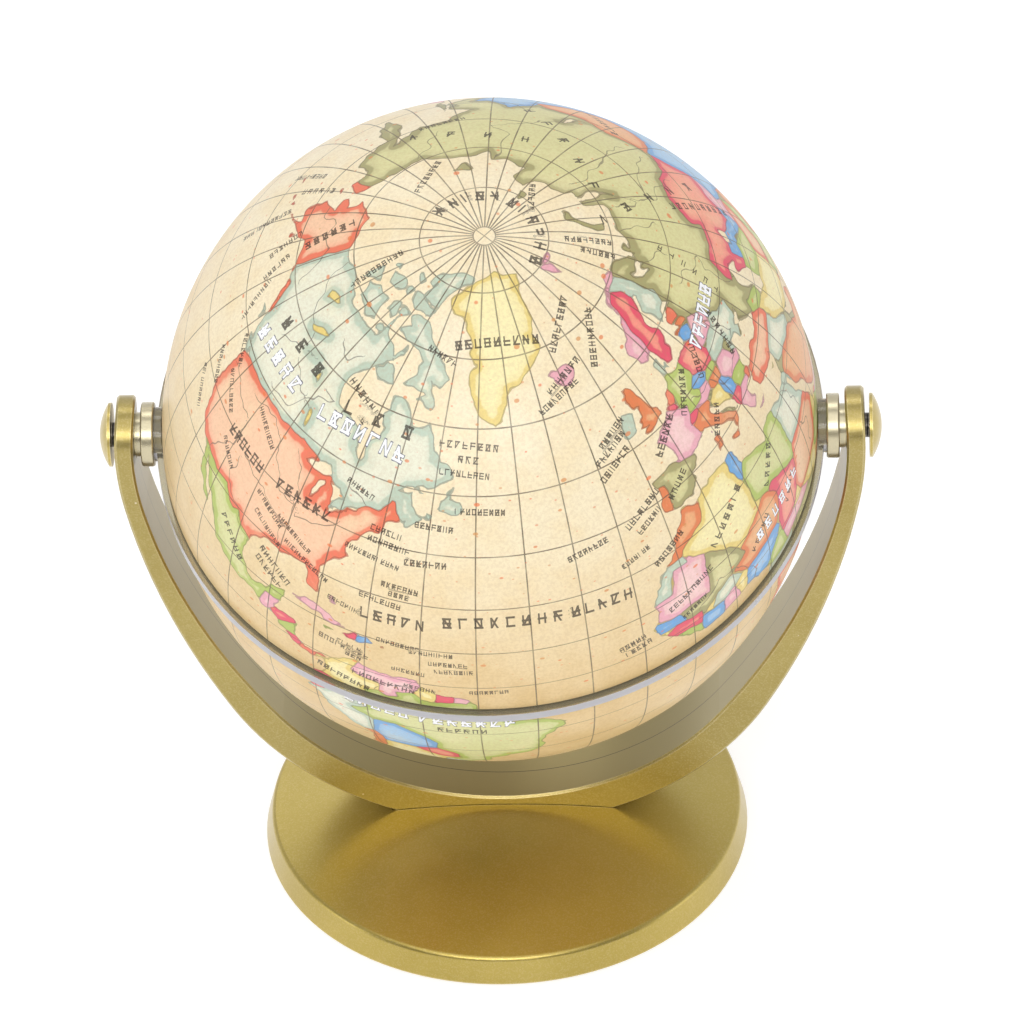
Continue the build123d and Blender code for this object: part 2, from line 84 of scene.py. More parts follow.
# ---- map ----------------------------------------------------------------------
# Each outline is longitude,latitude in degrees. The first letter is its tint. A line that starts with
# blanks carries on the row before it.
LAND = """
M -168,65.6 -164,66.5 -162,66.2 -164,68 -166.5,68.4 -163,69.5 -157,71.3 -150,70.5 -141,69.7 -135,69
  -129,70 -124,70 -115,68 -108,68 -102,68 -96,67.5 -95,69 -94,71.8 -91,69 -87,68.5 -86,67 -82,69.5
  -81.5,68 -86.5,66.3 -87,65 -90,63.8 -94.5,61 -94.5,58.8 -92.5,57 -88,56.7 -82.5,55.2 -82.2,53 -80,51.2
  -79,51.6 -79.5,54.5 -77,55.8 -76.7,57.5 -78.5,58.8 -77.5,60 -78,62.4 -74,62.2 -71,61.1 -69.5,59
  -66.5,58.7 -64.6,60.3 -62,57.5 -60,55 -57.5,54.4 -55.8,52.5 -58.5,51.3 -61,50.2 -66,50.2 -69,48.8
  -65,49.2 -64.5,47 -61.5,45.8 -63.5,44.6 -66,43.6 -66.5,45.1 -70,43.8 -70.7,41.8 -74,40.6 -76,38
  -76.3,36.9 -75.7,35.3 -79,33.5 -81.3,31.3 -80.3,27 -80.4,25.2 -81.8,26 -82.7,28.5 -84,30 -88,30.3
  -90,29.2 -94,29.6 -97.3,27.7 -97.8,22.5 -96,19 -94.5,18.2 -91,18.7 -90.3,21 -87,21.4 -87.8,18.3
  -88.8,15.9 -86,15.9 -83.3,15 -83.6,12 -82.5,9.3 -80,9.2 -78,9.4 -76.9,8.3 -78.3,7.5 -80.3,7.4 -82.8,8.1
  -84.8,9.9 -86,11 -87.6,13 -91.5,14 -94.5,16.2 -97,15.8 -101.5,17.6 -105,19.5 -105.5,21 -109,25.5
  -112.8,30 -114.7,31.7 -113,28.5 -110,24 -109.5,23 -112,25 -114.5,28 -116,30.5 -117.2,32.7 -120.5,34.4
  -122.5,37.5 -124.3,40.4 -124,46 -124.6,48.4 -122.8,49 -127.5,51 -130.5,54.5 -134.5,58.5 -140,59.8
  -146,60.8 -150,61.2 -152,59.2 -156,58 -162,55.2 -158.5,57.5 -158,58.6 -162,58.6 -165.5,61.5 -161,64.4
  -166.5,64.5
M -89,73.5 -85,73.8 -80,73.7 -76,72.7 -71,71 -67.5,69.5 -62,67 -64,65 -68,66.3 -64.5,63.2 -65,61.8
  -71,62.8 -68.5,63.7 -72,64.3 -78,64.6 -74,66 -73,68.2 -78,70 -84,70 -89,70.8 -85,72
M -117,69.8 -105,68.8 -102,69.5 -105,72.8 -110,72.8 -114,73 -119,71.5 -116,69.3
M -125,72 -123,71.1 -117,73 -120,74.2 -124.5,74.3
M -90,76.6 -80,76.2 -78,78 -75,79.3 -64,81.5 -62,82.6 -70,83.1 -85,82.4 -92,81 -86,79.5 -88,78
M -96,80.2 -92,81.2 -87.5,80 -89,78.3 -95,78.6
M -96,76.7 -90,76.4 -80,75.7 -80,74.6 -91,74.6 -95.5,75.5
M -95,73.8 -90.5,73.8 -92,72.3 -95.5,72.3
M -102,73 -97,73.7 -97,71.6 -101,71.5
M -117,75.3 -109,76.5 -105.5,75.7 -106,74.8 -114,74.6
M -103,76.3 -98,76.4 -98,75 -103,75.3
M -123,76.2 -118,77.3 -116,76.5 -120,75.8
M -105,79 -99,78.6 -100,77.8 -105,78.2
M -99,69.8 -95.5,69.5 -96,68.5 -99,68.8
M -86.5,65.8 -84,65.9 -80.5,63.8 -85.5,63.2 -87,64.3
M -55.6,51.6 -56.8,49.7 -53.7,49.3 -52.8,47.5 -54.2,46.8 -55.5,47.2 -59.3,47.7 -58.4,49.2
M -128.3,50.7 -125,50 -123.4,48.4 -126,49
M -64.2,49.9 -61.8,49.2 -63,49.1
M -61,47 -60,46.6 -60.5,45.6 -61.3,46
M -133,54 -131.7,54 -131,52.2
S -154.5,57.5 -152.3,58.2 -152.8,57.3
S -171.5,63.5 -169,63.3 -170,62.9
S -166.5,54.2 -164.5,54.9 -165.5,53.9
S -169,53.3 -167.3,53.8 -168.2,52.8
S -176,52.2 -173.5,52.4 -175,51.7
S -159.5,22.3 -158,21.8 -159,21.5
S -156,20.3 -154.8,19.5 -155.8,19
Y -73,78.2 -68,76.3 -60,76 -55,72.5 -54,70 -51,69.3 -53.5,67 -52,64.5 -49,61.5 -44,60 -42.5,61.5 -40,65
  -36,66 -29,68.3 -22,70.5 -24,72.5 -20,74 -20,77 -17.5,79.5 -12,81.5 -25,82.5 -33,83.6 -50,82.5 -60,82
  -67,80.5
P -24.3,65.6 -22,66.4 -20.5,65.7 -16,66.5 -13.6,65.1 -16,64.2 -18.7,63.4 -22.7,63.9 -22,64.8
P 11,79.5 14,80 17.5,79.8 19,78.8 16.8,76.7 14,77.8
P 18.5,80.3 27,80.3 24,79.3 19,79.4
P -84.9,21.9 -82.5,23.1 -79.5,22.8 -74.2,20.2 -77.7,19.8 -78.5,21.2
R -74.4,18.5 -72.5,19.9 -69.9,19.7 -68.4,18.5 -70.8,18.1 -72,18.1
G -78.3,18.5 -76.2,18.1 -77.3,17.7
O -67.3,18.5 -65.6,18.4 -66.5,17.9
P -78,25 -77.5,26.5 -77,25
R -61.9,10.8 -60.9,10.8 -61.3,10
G -77.4,8.6 -76.8,8 -75.5,10.6 -72.8,11.8 -71.5,12.3 -71.7,10.8 -71,11.6 -68,11 -64.5,10.2 -62,10.7
  -60,8.5 -57,6 -52,4.8 -50,1.5 -50,0 -47.5,-0.7 -44,-2.7 -40,-2.9 -37,-4.8 -35,-6.5 -35,-9 -39,-13
  -39,-17.5 -41,-22 -45,-23.2 -48.5,-26 -49,-28.7 -53.5,-33.5 -57,-34.6 -57,-38 -62,-39 -65,-41 -65.5,-45
  -68,-50 -69,-52.3 -74,-52 -75.5,-46 -73.5,-41 -73.5,-37 -71.5,-31 -70.4,-20 -76,-14 -79.5,-7.5 -81.3,-5
  -80,-2.5 -80.3,0.5 -78.5,2 -77.2,4 -77.5,6.7
V -9,37 -9.4,38.8 -8.7,41 -9.2,43.2 -4,43.4 -1.7,43.4 -1.2,45.5 -2.5,47.3 -4.7,48.3 -1.5,48.7 -1.6,49.6
  0.2,49.5 2,51 4,51.8 5,53.3 8.5,53.7 8.2,56.8 10.5,57.6 10.5,55.8 9.8,54.7 11,54 14,54 18.5,54.7 21,55.2
  21.2,57 24.2,57.2 23.5,59.2 28,59.6 30.2,59.9 28,60.5 22.5,60 21.4,61.5 21.5,63.2 25.3,65 24,65.8
  21.5,64.5 17.5,62 17.2,60.6 18.9,59.8 16.6,57.5 16,56.2 14.3,55.5 12.8,55.5 11.3,58.8 10.6,59.3 8,58.1
  5.5,58.8 5,61.5 8.5,63.5 12.5,66 15,68.5 20,70 25.7,71.1 31,70.3 41.3,67.3 40.5,66.2 35,66.3 32.5,67.1
  34.8,64.5 38,64 36.8,65.1 40.2,64.6 39.9,65.7 42.2,66.4 44,66 44,68.5 46,68 46,66.8 53,68.6 60,68.8
  67,69.6 66.8,71 69,72.8 72.7,72.8 72,70 73.5,68 71.5,66.4 74,67.7 74.8,70 74.5,72.8 80,72.3 80.5,73.6
  87,75 98,76 104,77.7 111,76.7 107,73.5 113.5,73.7 119,73 127,73.4 130,71 139,72.3 150,71.6 160,69.7
  170,69.8 180,68.9 190,66.2 187,64.3 181,65.4 178,64.6 179,62.5 172,60.8 164,60 163,57.8 162,55 157,51.2
  156,56 160,60.5 163.5,62.4 156.5,61.6 152,59.2 143,59.3 138,56 135.3,54.6 141,53 140.5,48.5 136,44.7
  131,42.7 127.6,39.8 129.4,36.5 126.5,34.4 126.5,37 125,39.6 121.5,39 122,40.7 118,39 122.3,37 119.3,35
  121.9,31.5 121.5,28.5 117,23.5 111,21.4 108,21.6 106,19 109.3,13 107,10.4 105,8.7 105,10.5 100.9,13.4
  99.2,10 103.3,4.5 104,1.4 101,3 98.3,8 98.7,13 97,17 94.5,16 92.2,21 90,22 87,21.2 82,16.5 80.2,15 80,11
  77.5,8.1 74.8,12.8 72.8,19 72.7,21.2 70,21 69,22.5 67,24.8 61.5,25.1 57,26.8 51.5,27.8 48.8,30.2
  50.5,26.5 51.6,25 54,24.1 56.3,26 59.7,22.5 55,17.5 45,12.8 43,14 39,21.5 35,28 34.9,29.4 32.7,29.6
  32.5,31.3 34.2,31.3 35.9,35 36.1,36.8 32.5,36.1 30.5,36.7 27.5,36.7 26.3,39.3 29,41 35,42 38,41
  41.5,41.6 38,44.4 37,45.4 39.2,47.2 35,46.3 36.4,45.3 33.5,44.5 32.8,46 30.5,46.3 28.7,43.8 27.7,42.5
  29,41.2 26.5,40.5 23.7,40.2 23,38.3 24,37.8 22.8,36.5 21.5,37.5 21,38.8 19.4,40.5 19.5,41.8 15.2,44
  13.7,45.5 12.3,45 13.6,43.5 18.4,40.1 17,40.5 17,39 15.8,38 16,39.8 12.3,41.8 10.3,43.5 8.5,44.3 5,43.3
  3.2,43 3.1,41.8 0,39.8 0,38.6 -2,36.8 -5.5,36.1
Y -5.9,35.8 -2,35.1 3,36.9 10,37.3 11,36.6 10.3,34.3 11,33.2 15.2,32.3 19,30.3 20,32.5 23,32.7 29,30.9
  32.3,31.3 32.6,29.9 35.5,24 37.3,20.5 39.5,15.5 43.3,12.5 43.2,11.5 51.2,11.8 48,5 42,-1.5 39,-6
  40.6,-11 40.5,-15 35,-20 35.5,-24 32.8,-26 32,-29 27,-33.8 20,-34.8 18.3,-33 15,-27 14.5,-22.5 11.8,-17
  13.6,-12 12.2,-6 9,-1 9.7,3.5 8.5,4.6 6,4.3 4.4,6.3 1.5,6.2 -2,4.8 -7.5,4.4 -11.5,6.8 -13.3,9 -15,11
  -16.8,12.5 -17.4,14.7 -16.4,16.5 -16.3,19 -17,21 -14.5,26 -11.5,28.2 -9.7,30 -9.3,32 -6.8,34
O -5.5,50.1 -3.5,50.4 1.2,51.2 1.6,52.7 0.2,53.2 -1.5,55 -2,57.6 -3.3,58.6 -5,58.5 -5.8,56.5 -4.8,54.8
  -3.1,54.8 -3,53.4 -4.6,53.2 -4.3,52.2 -5.2,51.8 -3,51.4
M -8,55.2 -5.8,54.7 -6.3,52.3 -9.8,51.5 -10,53.5 -8.5,54.4
O 12.5,38 15.5,38.2 15.1,36.7
O 8.3,41 9.7,41 9.5,39.1 8.5,39
P 8.7,42.7 9.5,43 9.3,41.4
P 23.6,35.5 26.2,35.3 24.7,34.8
Y 32.4,34.8 34.5,35.6 33.5,34.6
M 11,55.7 12.5,56.1 12.2,54.9
V 52,71 56,70.6 55.5,72.5 60,74.5 68.5,76.8 61,76.2 54.5,74 51.8,72
V 95,79 104,78.8 96,81
V 138,75.6 150,75.2 143,73.6
V 178.8,71 182.5,71.4 180,70.8
V 142.2,54 143.5,52 143,47 142,46 142,50
P 140,42 141.8,45.4 145.3,43.3 143,42
P 130.9,34 133,35.5 137,37 139.7,39.5 141,41.4 142,39.5 140.8,35.7 136,33.6 133,34.4
P 130,33.5 132,33 130.8,31.1
G 120.2,23 121.5,25.2 121,22.2
G 95.3,5.5 98.5,3.8 104,-2 106,-5.8 102,-4 98.5,1
G 105.2,-6.7 108.5,-6.7 114.5,-7.7 114.4,-8.7 108,-7.8
G 109,1.5 113,3.2 117,7 119,5 117.5,1 116,-4 111,-3.2
G 119.5,0 121,1.2 125,1.5 121,-1 122.5,-5 120.4,-5.5 119,-3
Y 131,-0.8 134.5,-0.9 135,-3.3 138,-1.7 144,-3.8 147.8,-6.5 150.5,-10.5 146,-8.5 143,-9 138,-8.3 133,-4
R 120.5,18.4 122.2,18.4 121.8,14 120,14.5
R 122,7 125.5,9.7 126.4,7 124,6
S 114,-22 117,-20.6 122,-18 126,-14 130,-12 132.5,-11.2 136.8,-12.2 135.5,-15 139.5,-17.5 141,-16
  141.8,-11 145.5,-15 149,-20.5 153.3,-26 152,-32.5 150,-37.3 144,-38.5 140,-37.8 138,-34.8 135.5,-34.8
  131,-31.5 124,-33 118,-35 115.2,-34 115.8,-31
S 144.8,-40.8 148.2,-41 146.8,-43.5
M 172.9,-34.6 178.3,-37.8 175.2,-41.5 174,-39
M 172.8,-40.6 174.2,-41.6 171,-44.8 168.5,-46.6 166.6,-45.8
P 49.3,-12.2 50.3,-15.7 47.2,-24.9 44,-25 43.5,-21.5 44.5,-16.3
Y 80,9.6 81.8,7 80.3,6
M 0,-69.5 30,-69 60,-67 90,-66.5 120,-66.5 150,-68.5 170,-72 180,-78 200,-77 220,-75 250,-73 285,-73
  295,-65 300,-64 298,-72 310,-77.5 330,-76 345,-72
"""
WATER = """
-92,46.8 -89.5,48.2 -86.5,48.7 -84.7,46.8 -87,46.5 -90,46.7
-87.9,43 -87.3,45.3 -85.3,45.9 -86.4,43.5 -87.2,41.7
-84.5,45.9 -81.5,45.9 -80.3,44.7 -81.7,43.3 -82.5,43.1 -83.4,44.8
-83.3,41.8 -81.5,42.5 -79,42.8 -81.5,41.6
-79.7,43.4 -76.5,44.1 -76.5,43.5 -79.2,43.3
47,45 50.5,46.8 53,45.2 51,44.5 53.8,41.5 53.8,37.2 50,37.4 49,40.5
58.5,45 61,46.5 61.5,44.5 59,43.6
103.8,51.5 108.5,53 110,55.6 109,55.6 105.5,52
31.7,0.4 34,0.3 33.5,-2.4 31.8,-2
"""
COUNTRIES = """
S -124.8,48.4 -123,49 -95.2,49 -95,49.4 -89.5,48 -84.8,46.6 -83.6,46 -82.5,45.3 -82.4,43 -83.1,42 -79,42.8
  -79,43.4 -76.3,44.2 -74.8,45 -71.4,45.1 -70.3,46.2 -69.2,47.4 -68,47.2 -67.8,45.6 -66.9,44.7 -66,43
  -70,38 -75,30 -79,24.5 -84,24.5 -96.5,25.9 -99.5,27.5 -101.5,29.8 -103,29 -104.6,29.7 -106.5,31.8
  -111,31.3 -114.8,32.5 -117.2,32.5 -122,30 -128,40 -126,48
S -141,60.2 -141,72 -156,75 -175,70 -175,50 -140,56 -130,54.4 -130.2,56 -135,59.4 -137.5,58.9
G -117.5,32.6 -114.8,32.5 -111,31.3 -106.5,31.8 -104.6,29.7 -103,29 -101.5,29.8 -99.5,27.5 -96.5,25.9
  -94,22 -86,22.5 -86.5,18.5 -89.2,17.8 -91,17.8 -91,16 -92.2,14.5 -100,12 -115,20 -120,32
P -92.2,14.5 -91.8,16 -91,17.8 -89.2,17.8 -87,18 -87.5,16 -89.3,14.4 -90.1,13.4 -92,12.5
R -89.4,14.3 -88.3,16 -86,17 -83,16 -83,15 -85,14 -87.5,12.8
G -87.9,12.6 -87.5,12.8 -85,14 -83,15 -82,13 -83.5,10.9 -86,11 -88,11.5
R -86.2,11 -83.5,10.9 -82.4,9.6 -83,8 -86,8.5
S -83,8 -82.4,9.7 -79,10.5 -77.2,9 -77.5,7 -80,6.5
U -71.7,20.5 -71.7,17 -68,17 -68,20.5
Y -79,8.9 -77.2,9 -74,13 -70.9,12.3 -72.5,8 -70,6.5 -67.5,6.2 -67.3,2.5 -70,1 -70,-4.2 -73,-2.3 -75.5,0
  -79,1.5 -81,4
P -71,13 -60,11 -59.8,8.3 -61.2,5 -64,4 -64,2 -66,1 -67.3,2.5 -67.5,6.2 -70,6.5 -72.5,8
Y -59.8,9 -57,7 -57.5,2 -60,2 -61.2,5
R -57.2,7 -54,7 -54.3,2.3 -57.5,2
P -54,7 -51,5 -52,2.3 -54.3,2.3
R -82,2 -78.8,1.5 -75.4,0 -78,-3.3 -80,-4.5 -82,-4
M -80,-4.5 -78,-3.3 -75.4,0 -73,-2.3 -70,-4.2 -73.5,-7.5 -70.5,-9.5 -69.5,-11 -69.5,-17.5 -71,-19 -83,-10
  -83,-4
U -69.5,-11 -65.3,-10 -60,-14 -58,-17 -58.2,-20 -62.5,-22.3 -66,-22 -68,-22.5 -69.5,-17.5
Y -66,-22 -62.5,-22.3 -58,-25 -54,-26 -57.5,-30 -58.3,-34 -50,-36 -60,-58 -68.5,-52.5 -72,-51 -72.5,-47
  -71.5,-40 -70,-33 -69,-27 -68,-22.5
R -62.5,-22.3 -58.2,-20 -54.5,-24 -54.5,-27.3 -58.5,-27
M -57.5,-30 -53,-33 -52,-35 -58.3,-34
O -69.5,-17.5 -68,-22.5 -69,-27 -70,-33 -71.5,-40 -72.5,-47 -72,-51 -68.5,-52.5 -68,-57 -80,-50 -75,-35
  -72,-18
P 4,57.5 11.3,58.9 12.3,61.5 12,63.5 14,65 16,68 20,69 25.7,69 29,69.6 31.2,69.7 31,72 15,70.5 4,64
R 11.3,58.9 12.3,61.5 12,63.5 14,65 16,68 20.5,69 23.8,67.8 24.1,65.8 20,63.5 19,60 18,57 14.5,55 12.3,55.6
M 20.5,69.1 25.7,69.2 28.5,69.5 30,67 29.8,64 31.3,62.6 28,60.2 21,59.5 20,63 24.1,65.8 23.8,67.8
M 7.5,54.9 9.5,54.8 11,55 11,58 7.5,57.5
G 6,53.8 7,51.8 6.2,49.5 8.2,49 7.6,47.6 13,47.5 13.8,48.7 12.2,50.3 15,51 14.3,54.5 9.5,54.9 7.5,55
S 3.3,51.4 6,51 7,51.9 7,54 4.5,53.8
R 2.5,51.2 3.3,51.5 6,51 6.2,49.6 4.5,49.9
P -6,48.5 -1.8,43.3 3,42.4 4,42.5 7.6,43.6 7,45 6.8,46.4 7.6,47.6 8.2,49 6.2,49.5 2.5,51.1 -1,50.5
O -10,36.5 -7.3,37 -7,39.5 -6.8,41.8 -10,42
R 6,46.2 7.6,47.6 9.6,47.4 10.5,46.8 8.5,46
P 9.6,47.4 13,47.6 13.8,48.7 17,48.7 16.3,46.8 13.5,46.5 10.5,46.8
O 6.8,45.9 7,44 8,43.5 10,42 12,40 15,36 19,39 14,43 12.9,45.3 13.6,45.7 13.5,46.5 10.5,46.8 8.5,46.2
R 14.3,54.5 15,51 18.5,49.6 22.6,49.2 23.9,50.7 23.6,52.7 22.8,54.4 18.5,55
U 12.2,50.3 13.8,48.7 17,48.7 18.6,49.6 15,51
G 17,48.1 22.3,48.3 22.6,49.2 18.6,49.6 17,48.8
O 16.3,46.8 17,48 22.3,48.2 21,46 18.5,45.7
P 21,46 22.7,48 27,48.2 28.2,45.4 30,45 28.7,43.7 22.7,44.1
G 22.4,44.1 28.7,43.7 28.2,42 23,41.4
U 19,46 21,46 22.6,44 22.4,42.2 20,42 19.2,43.6
Y 13.6,45.7 16.5,46.5 19,46 19.2,43.5 18.5,42 15,43
R 19,42.3 22.4,42.3 23,41.2 20.5,39.5 19,40
P 20,39.5 23,41.3 26.5,41.7 26.5,37 24,35.7 21,36
M 22.3,48.3 23.9,50.7 27,51.5 33,52.3 35.5,50.4 40,49.5 38.3,47 33.5,44 30,45.2 28.3,45.5 30,47.9 27,48.2
P 23.6,52.7 23.6,51.5 30.8,51.4 32.5,53.5 28.3,56 25.5,54.5
U 20.6,56.3 24,56.3 26.7,55.6 24,54 20.6,55.2
O 20.6,57.8 27.5,57.4 28,56 25,56.3 20.6,56.3
S 22,59.8 28,59.8 27.5,57.5 24.3,57.9 22,58.2
S 26,40.3 26.5,42 28,42 29,41.2 32,42.5 41.5,42 44.5,40 44.5,37.2 42,37.2 36.5,36.7 36,35.8 30,35 25.8,36.5
G 41.5,41.5 43.5,43.2 47,41.8 50,40.5 48.5,38.6 44.5,39.5
R 47,48.5 50,51.5 55,50.7 61.5,50.7 61,53 65,54.5 70,55.2 77,54 80,51 87.3,49.2 82,45.5 80,42.3 73,42.9
  70.5,42 66.5,41.2 61.5,44.5 56,45 56,41.3 52.5,41.8 50,44.5 51.5,47 47,46.5
U 56,45 61.5,44.5 66.5,41.2 70.5,42 73,40.5 68,37.2 66.5,37.3 62,41.5 56,41.3
G 52.5,41.8 56,41.3 60,42.2 66.5,37.4 61,35.2 54,37.3
P 67.5,37.2 70.5,42 73,42.9 80,42.3 74.5,39.3 75,37
Y 44.5,39.5 48,38.5 54,37.3 61,35.2 61,29.5 63,26.5 57,25.5 50,29 45.5,34
M 42,37.2 44.5,37.5 45.5,34 48.5,30 47,29.3 39,32 36,33 36,36.5
O 39,32 47,29.3 49,27 52,23.5 60,27 62,22 52,12 42,12 33,28 35.5,31.5
S 61,35.5 66.5,37.3 71,38 74.5,37 69.5,33 66,29.8 61,29.5
G 61,29.5 66,29.8 69.5,33 74.5,37 75,34 74.5,31.5 70,28 71,25 68,24 61,24
O 68,24 71,25 70,28 74.5,31.5 75,34 79,35 81,30 88,27.5 92,27.5 97,28 92,22 89,21.5 88,10 77,5 66,20
U 73.5,39.5 80,42.3 82,45.5 87.3,49.2 91,46.5 97,42.8 105,41.5 112,43.7 118,46.5 120,50 125.5,53 131,47.8
  134.7,48.3 131,43 124.3,39.8 124,30 118,20 108,17 108,21.5 105,23 101,21.3 98,25 97,28.2 88,28 81,30.3
  78.5,34.5 74.5,37
O 87.8,49.2 98,52 102,51.3 107,50 116,49.8 119.8,46.8 112,43.7 105,41.5 97,42.8 91,45.5
Y 92,21 97,28 98,25 101,21 98,16 98.5,10 93,15
R 98,16 101,21 105,17 102.5,12 100,7 98.5,10
P 101,21 105,23 108.5,21.5 111,13 105,8 102.5,12 105,17
G 124.3,39.8 131,43 130,33 124,33
M -17.5,20.8 -13,21.3 -12,26 -8.7,26 -8.7,27.7 -13.5,27.7 -17,25
O -13.5,27.7 -8.7,27.7 -8.7,28.7 -3,31.5 -1.7,34.8 -2,36 -6,36 -11,32
U 8.2,38 8,34.5 9.3,30.2 11.5,32.9 12,37.5
G 9.3,30.2 11.6,33.1 14,33.5 25.2,34 25,20 24,19.5 15.9,23.4 14.2,22.6 10,24.3 9.9,27
M 25,34 25,22 37,22 35,30 34.5,31.5
P -17.5,20.8 -13,21.3 -12,23.4 -12,26 -8.7,26 -8.7,27.3 -4.8,25 -5.5,15.5 -10.5,15.4 -12.2,14.8 -16.8,16.2
V -4.8,25 1.2,21.1 3.3,19 4.2,16.5 -0.2,15 -4,13 -8,10.2 -11.4,12.3 -12.2,14.8 -10.5,15.4 -5.5,15.5
O 3.3,19 12,23.5 14.2,22.6 15.9,20.3 15.5,16.9 13.5,13.7 3.6,11.8 0.2,15 4.2,16.5
R 14.2,22.6 15.9,23.4 24,19.5 22,12.8 19,9 15,8 14,13 15.5,16.9 15.9,20.3
S 25,22 37,22 39,17 36.3,12.5 34,9.8 24,9 22,12.8 24,19.5
U 2.7,6 3.6,11.8 13.5,13.7 14,12 8.5,4 4,4
U -17.8,16 -12.2,14.8 -11.4,12.4 -17.5,12.4
R -16,10.8 -13.7,12.5 -8,12 -8,7.8 -11,8.8 -13.5,8.8
U -8,10.3 -2.8,9.8 -3,4 -8,4 -8.3,7.5
G -13.5,9 -11,9 -8.3,7.5 -7.5,4 -14,6
P -2.8,11 0.2,11 1.2,5 -3,4
M -5.5,10.4 -4,13.2 -0.2,15 2.3,12.3 0.2,11 -2.8,9.8
G 8.5,4 14,12 15,8 16,2 9.5,2
P 15,8 19,9 24,9 27.3,5 18.5,4 16,2.5
M 9,2 16,2 18,3 17,-5 12,-6 8,-2
G 36.3,12.5 43,12 47,8 42,4 36,4 33.5,8
P 42,12 52,13 52,10 42,-3 41,1 47,8
O 34,4.5 41,4 41,-3 39,-5 34,-1
V 12.3,-6 17,-5 18.5,4 27.3,5 31,3 29,-5 30.5,-8.5 28.5,-12 24,-11 21.8,-8 16.5,-6
S 11,-6 16.5,-6 21.8,-8 22,-17 11,-17.5
G 30,-1 39,-5 41,-11 34,-11 29.5,-6
R 22,-11 28.5,-12 30.5,-8.5 34,-11 30,-15.5 22,-17
M 34,-11 41,-11 42,-16 36,-26 32,-26 33,-20 30,-15.5
O 11,-17.5 25,-18 20,-22 20,-28.5 14,-29
P 14,-29 20,-28.5 20,-25 27,-25 32,-22 34,-28 27,-36 17,-36
"""
NORTH_LAKES = """
Y -124.5,66 -121,66.8 -117.8,66.3 -121,65.3 -123,64.9
Y -117,61.2 -114,62.4 -109.5,62.8 -112,61.5 -115.5,60.9
Y -111,58.8 -106,59.4 -109,58.9
Y -103,57.5 -102,58.5 -101.5,57
Y -98.8,53.8 -97.5,53.5 -96.5,51 -97,50.5 -98,52
"""
RIVERS = """
-135,69 -133,67.5 -129,65.5 -125,64 -120,61.8 -117,61.2
-114,60.8 -113,59 -116,57 -121,56
-164,62.8 -158,63.5 -155,65.5 -148,65 -143,66 -139,63.5 -134,61
-104,64 -100,62.5 -96,64.2
-111,56.8 -107,55.5 -103,54 -99,53.5
-97,57 -93,56.5 -99,55.5 -104,50.8 -112,50.5
-112.5,47 -108,48 -103,48 -100.5,45.5 -97,42.5 -95.5,40 -93,39 -90.3,38.7
-94.5,47 -93,45 -91,42 -90.5,38.8 -89.3,36.5 -91,33 -91,30.5
-106,39 -103,38 -98,37.5 -94.5,35.5 -91.2,34
-79.5,40.5 -82,38.6 -86,38 -89,37
-106.5,37.5 -106.8,34 -105,30.6 -102,29.8 -99,27 -97.3,26
-110,43 -109.5,38.5 -112,36.4 -114.5,35 -114.8,32.3
-111,44 -117,45 -119,46 -123.5,46.2
-75,45.4 -77.5,46.5 -79,47
-52,-0.5 -55,-2.3 -60,-3.2 -65,-3.2 -70,-4 -74,-4.5
-62,9 -63,8 -67,6.5 -68,3
66.5,66.7 66,64 69,61 75,60 83,56.5 86,53
71.5,66.3 68,61 69,58.5 74,56 76.5,52
82.5,71.5 86,67 88,63 92,58.5 92,54
126,72.5 125,69 123,65 129,62.5 120,60 113,58 107.5,54
161,69 154,67 149,63.5
140.5,53 138,49.5 132,47.7 127,50 121,53
48,46 45,48.7 46.5,51.5 49.5,54.5 44,56.3 38,58.3
53,68 57,65 58,62
40.5,64.5 46,62.5 46,60.5
31,30.2 32.5,26 33,23 31,19.5 33.5,18 32.5,15.6 32,10 31.5,5
5.5,5.5 6.5,8 4.5,11.5 1,15.5 -3,16.5 -8,12.5
12.5,-6 16,-4 18,0.5 23,2 25.5,-1 27,-6
112,31 117,30.5 106,29.5 100,26 98,30
30,46 34,47 31,51 31.5,54.5
29.5,45.2 23,43.8 19,46 17,48 11,48.7
"""
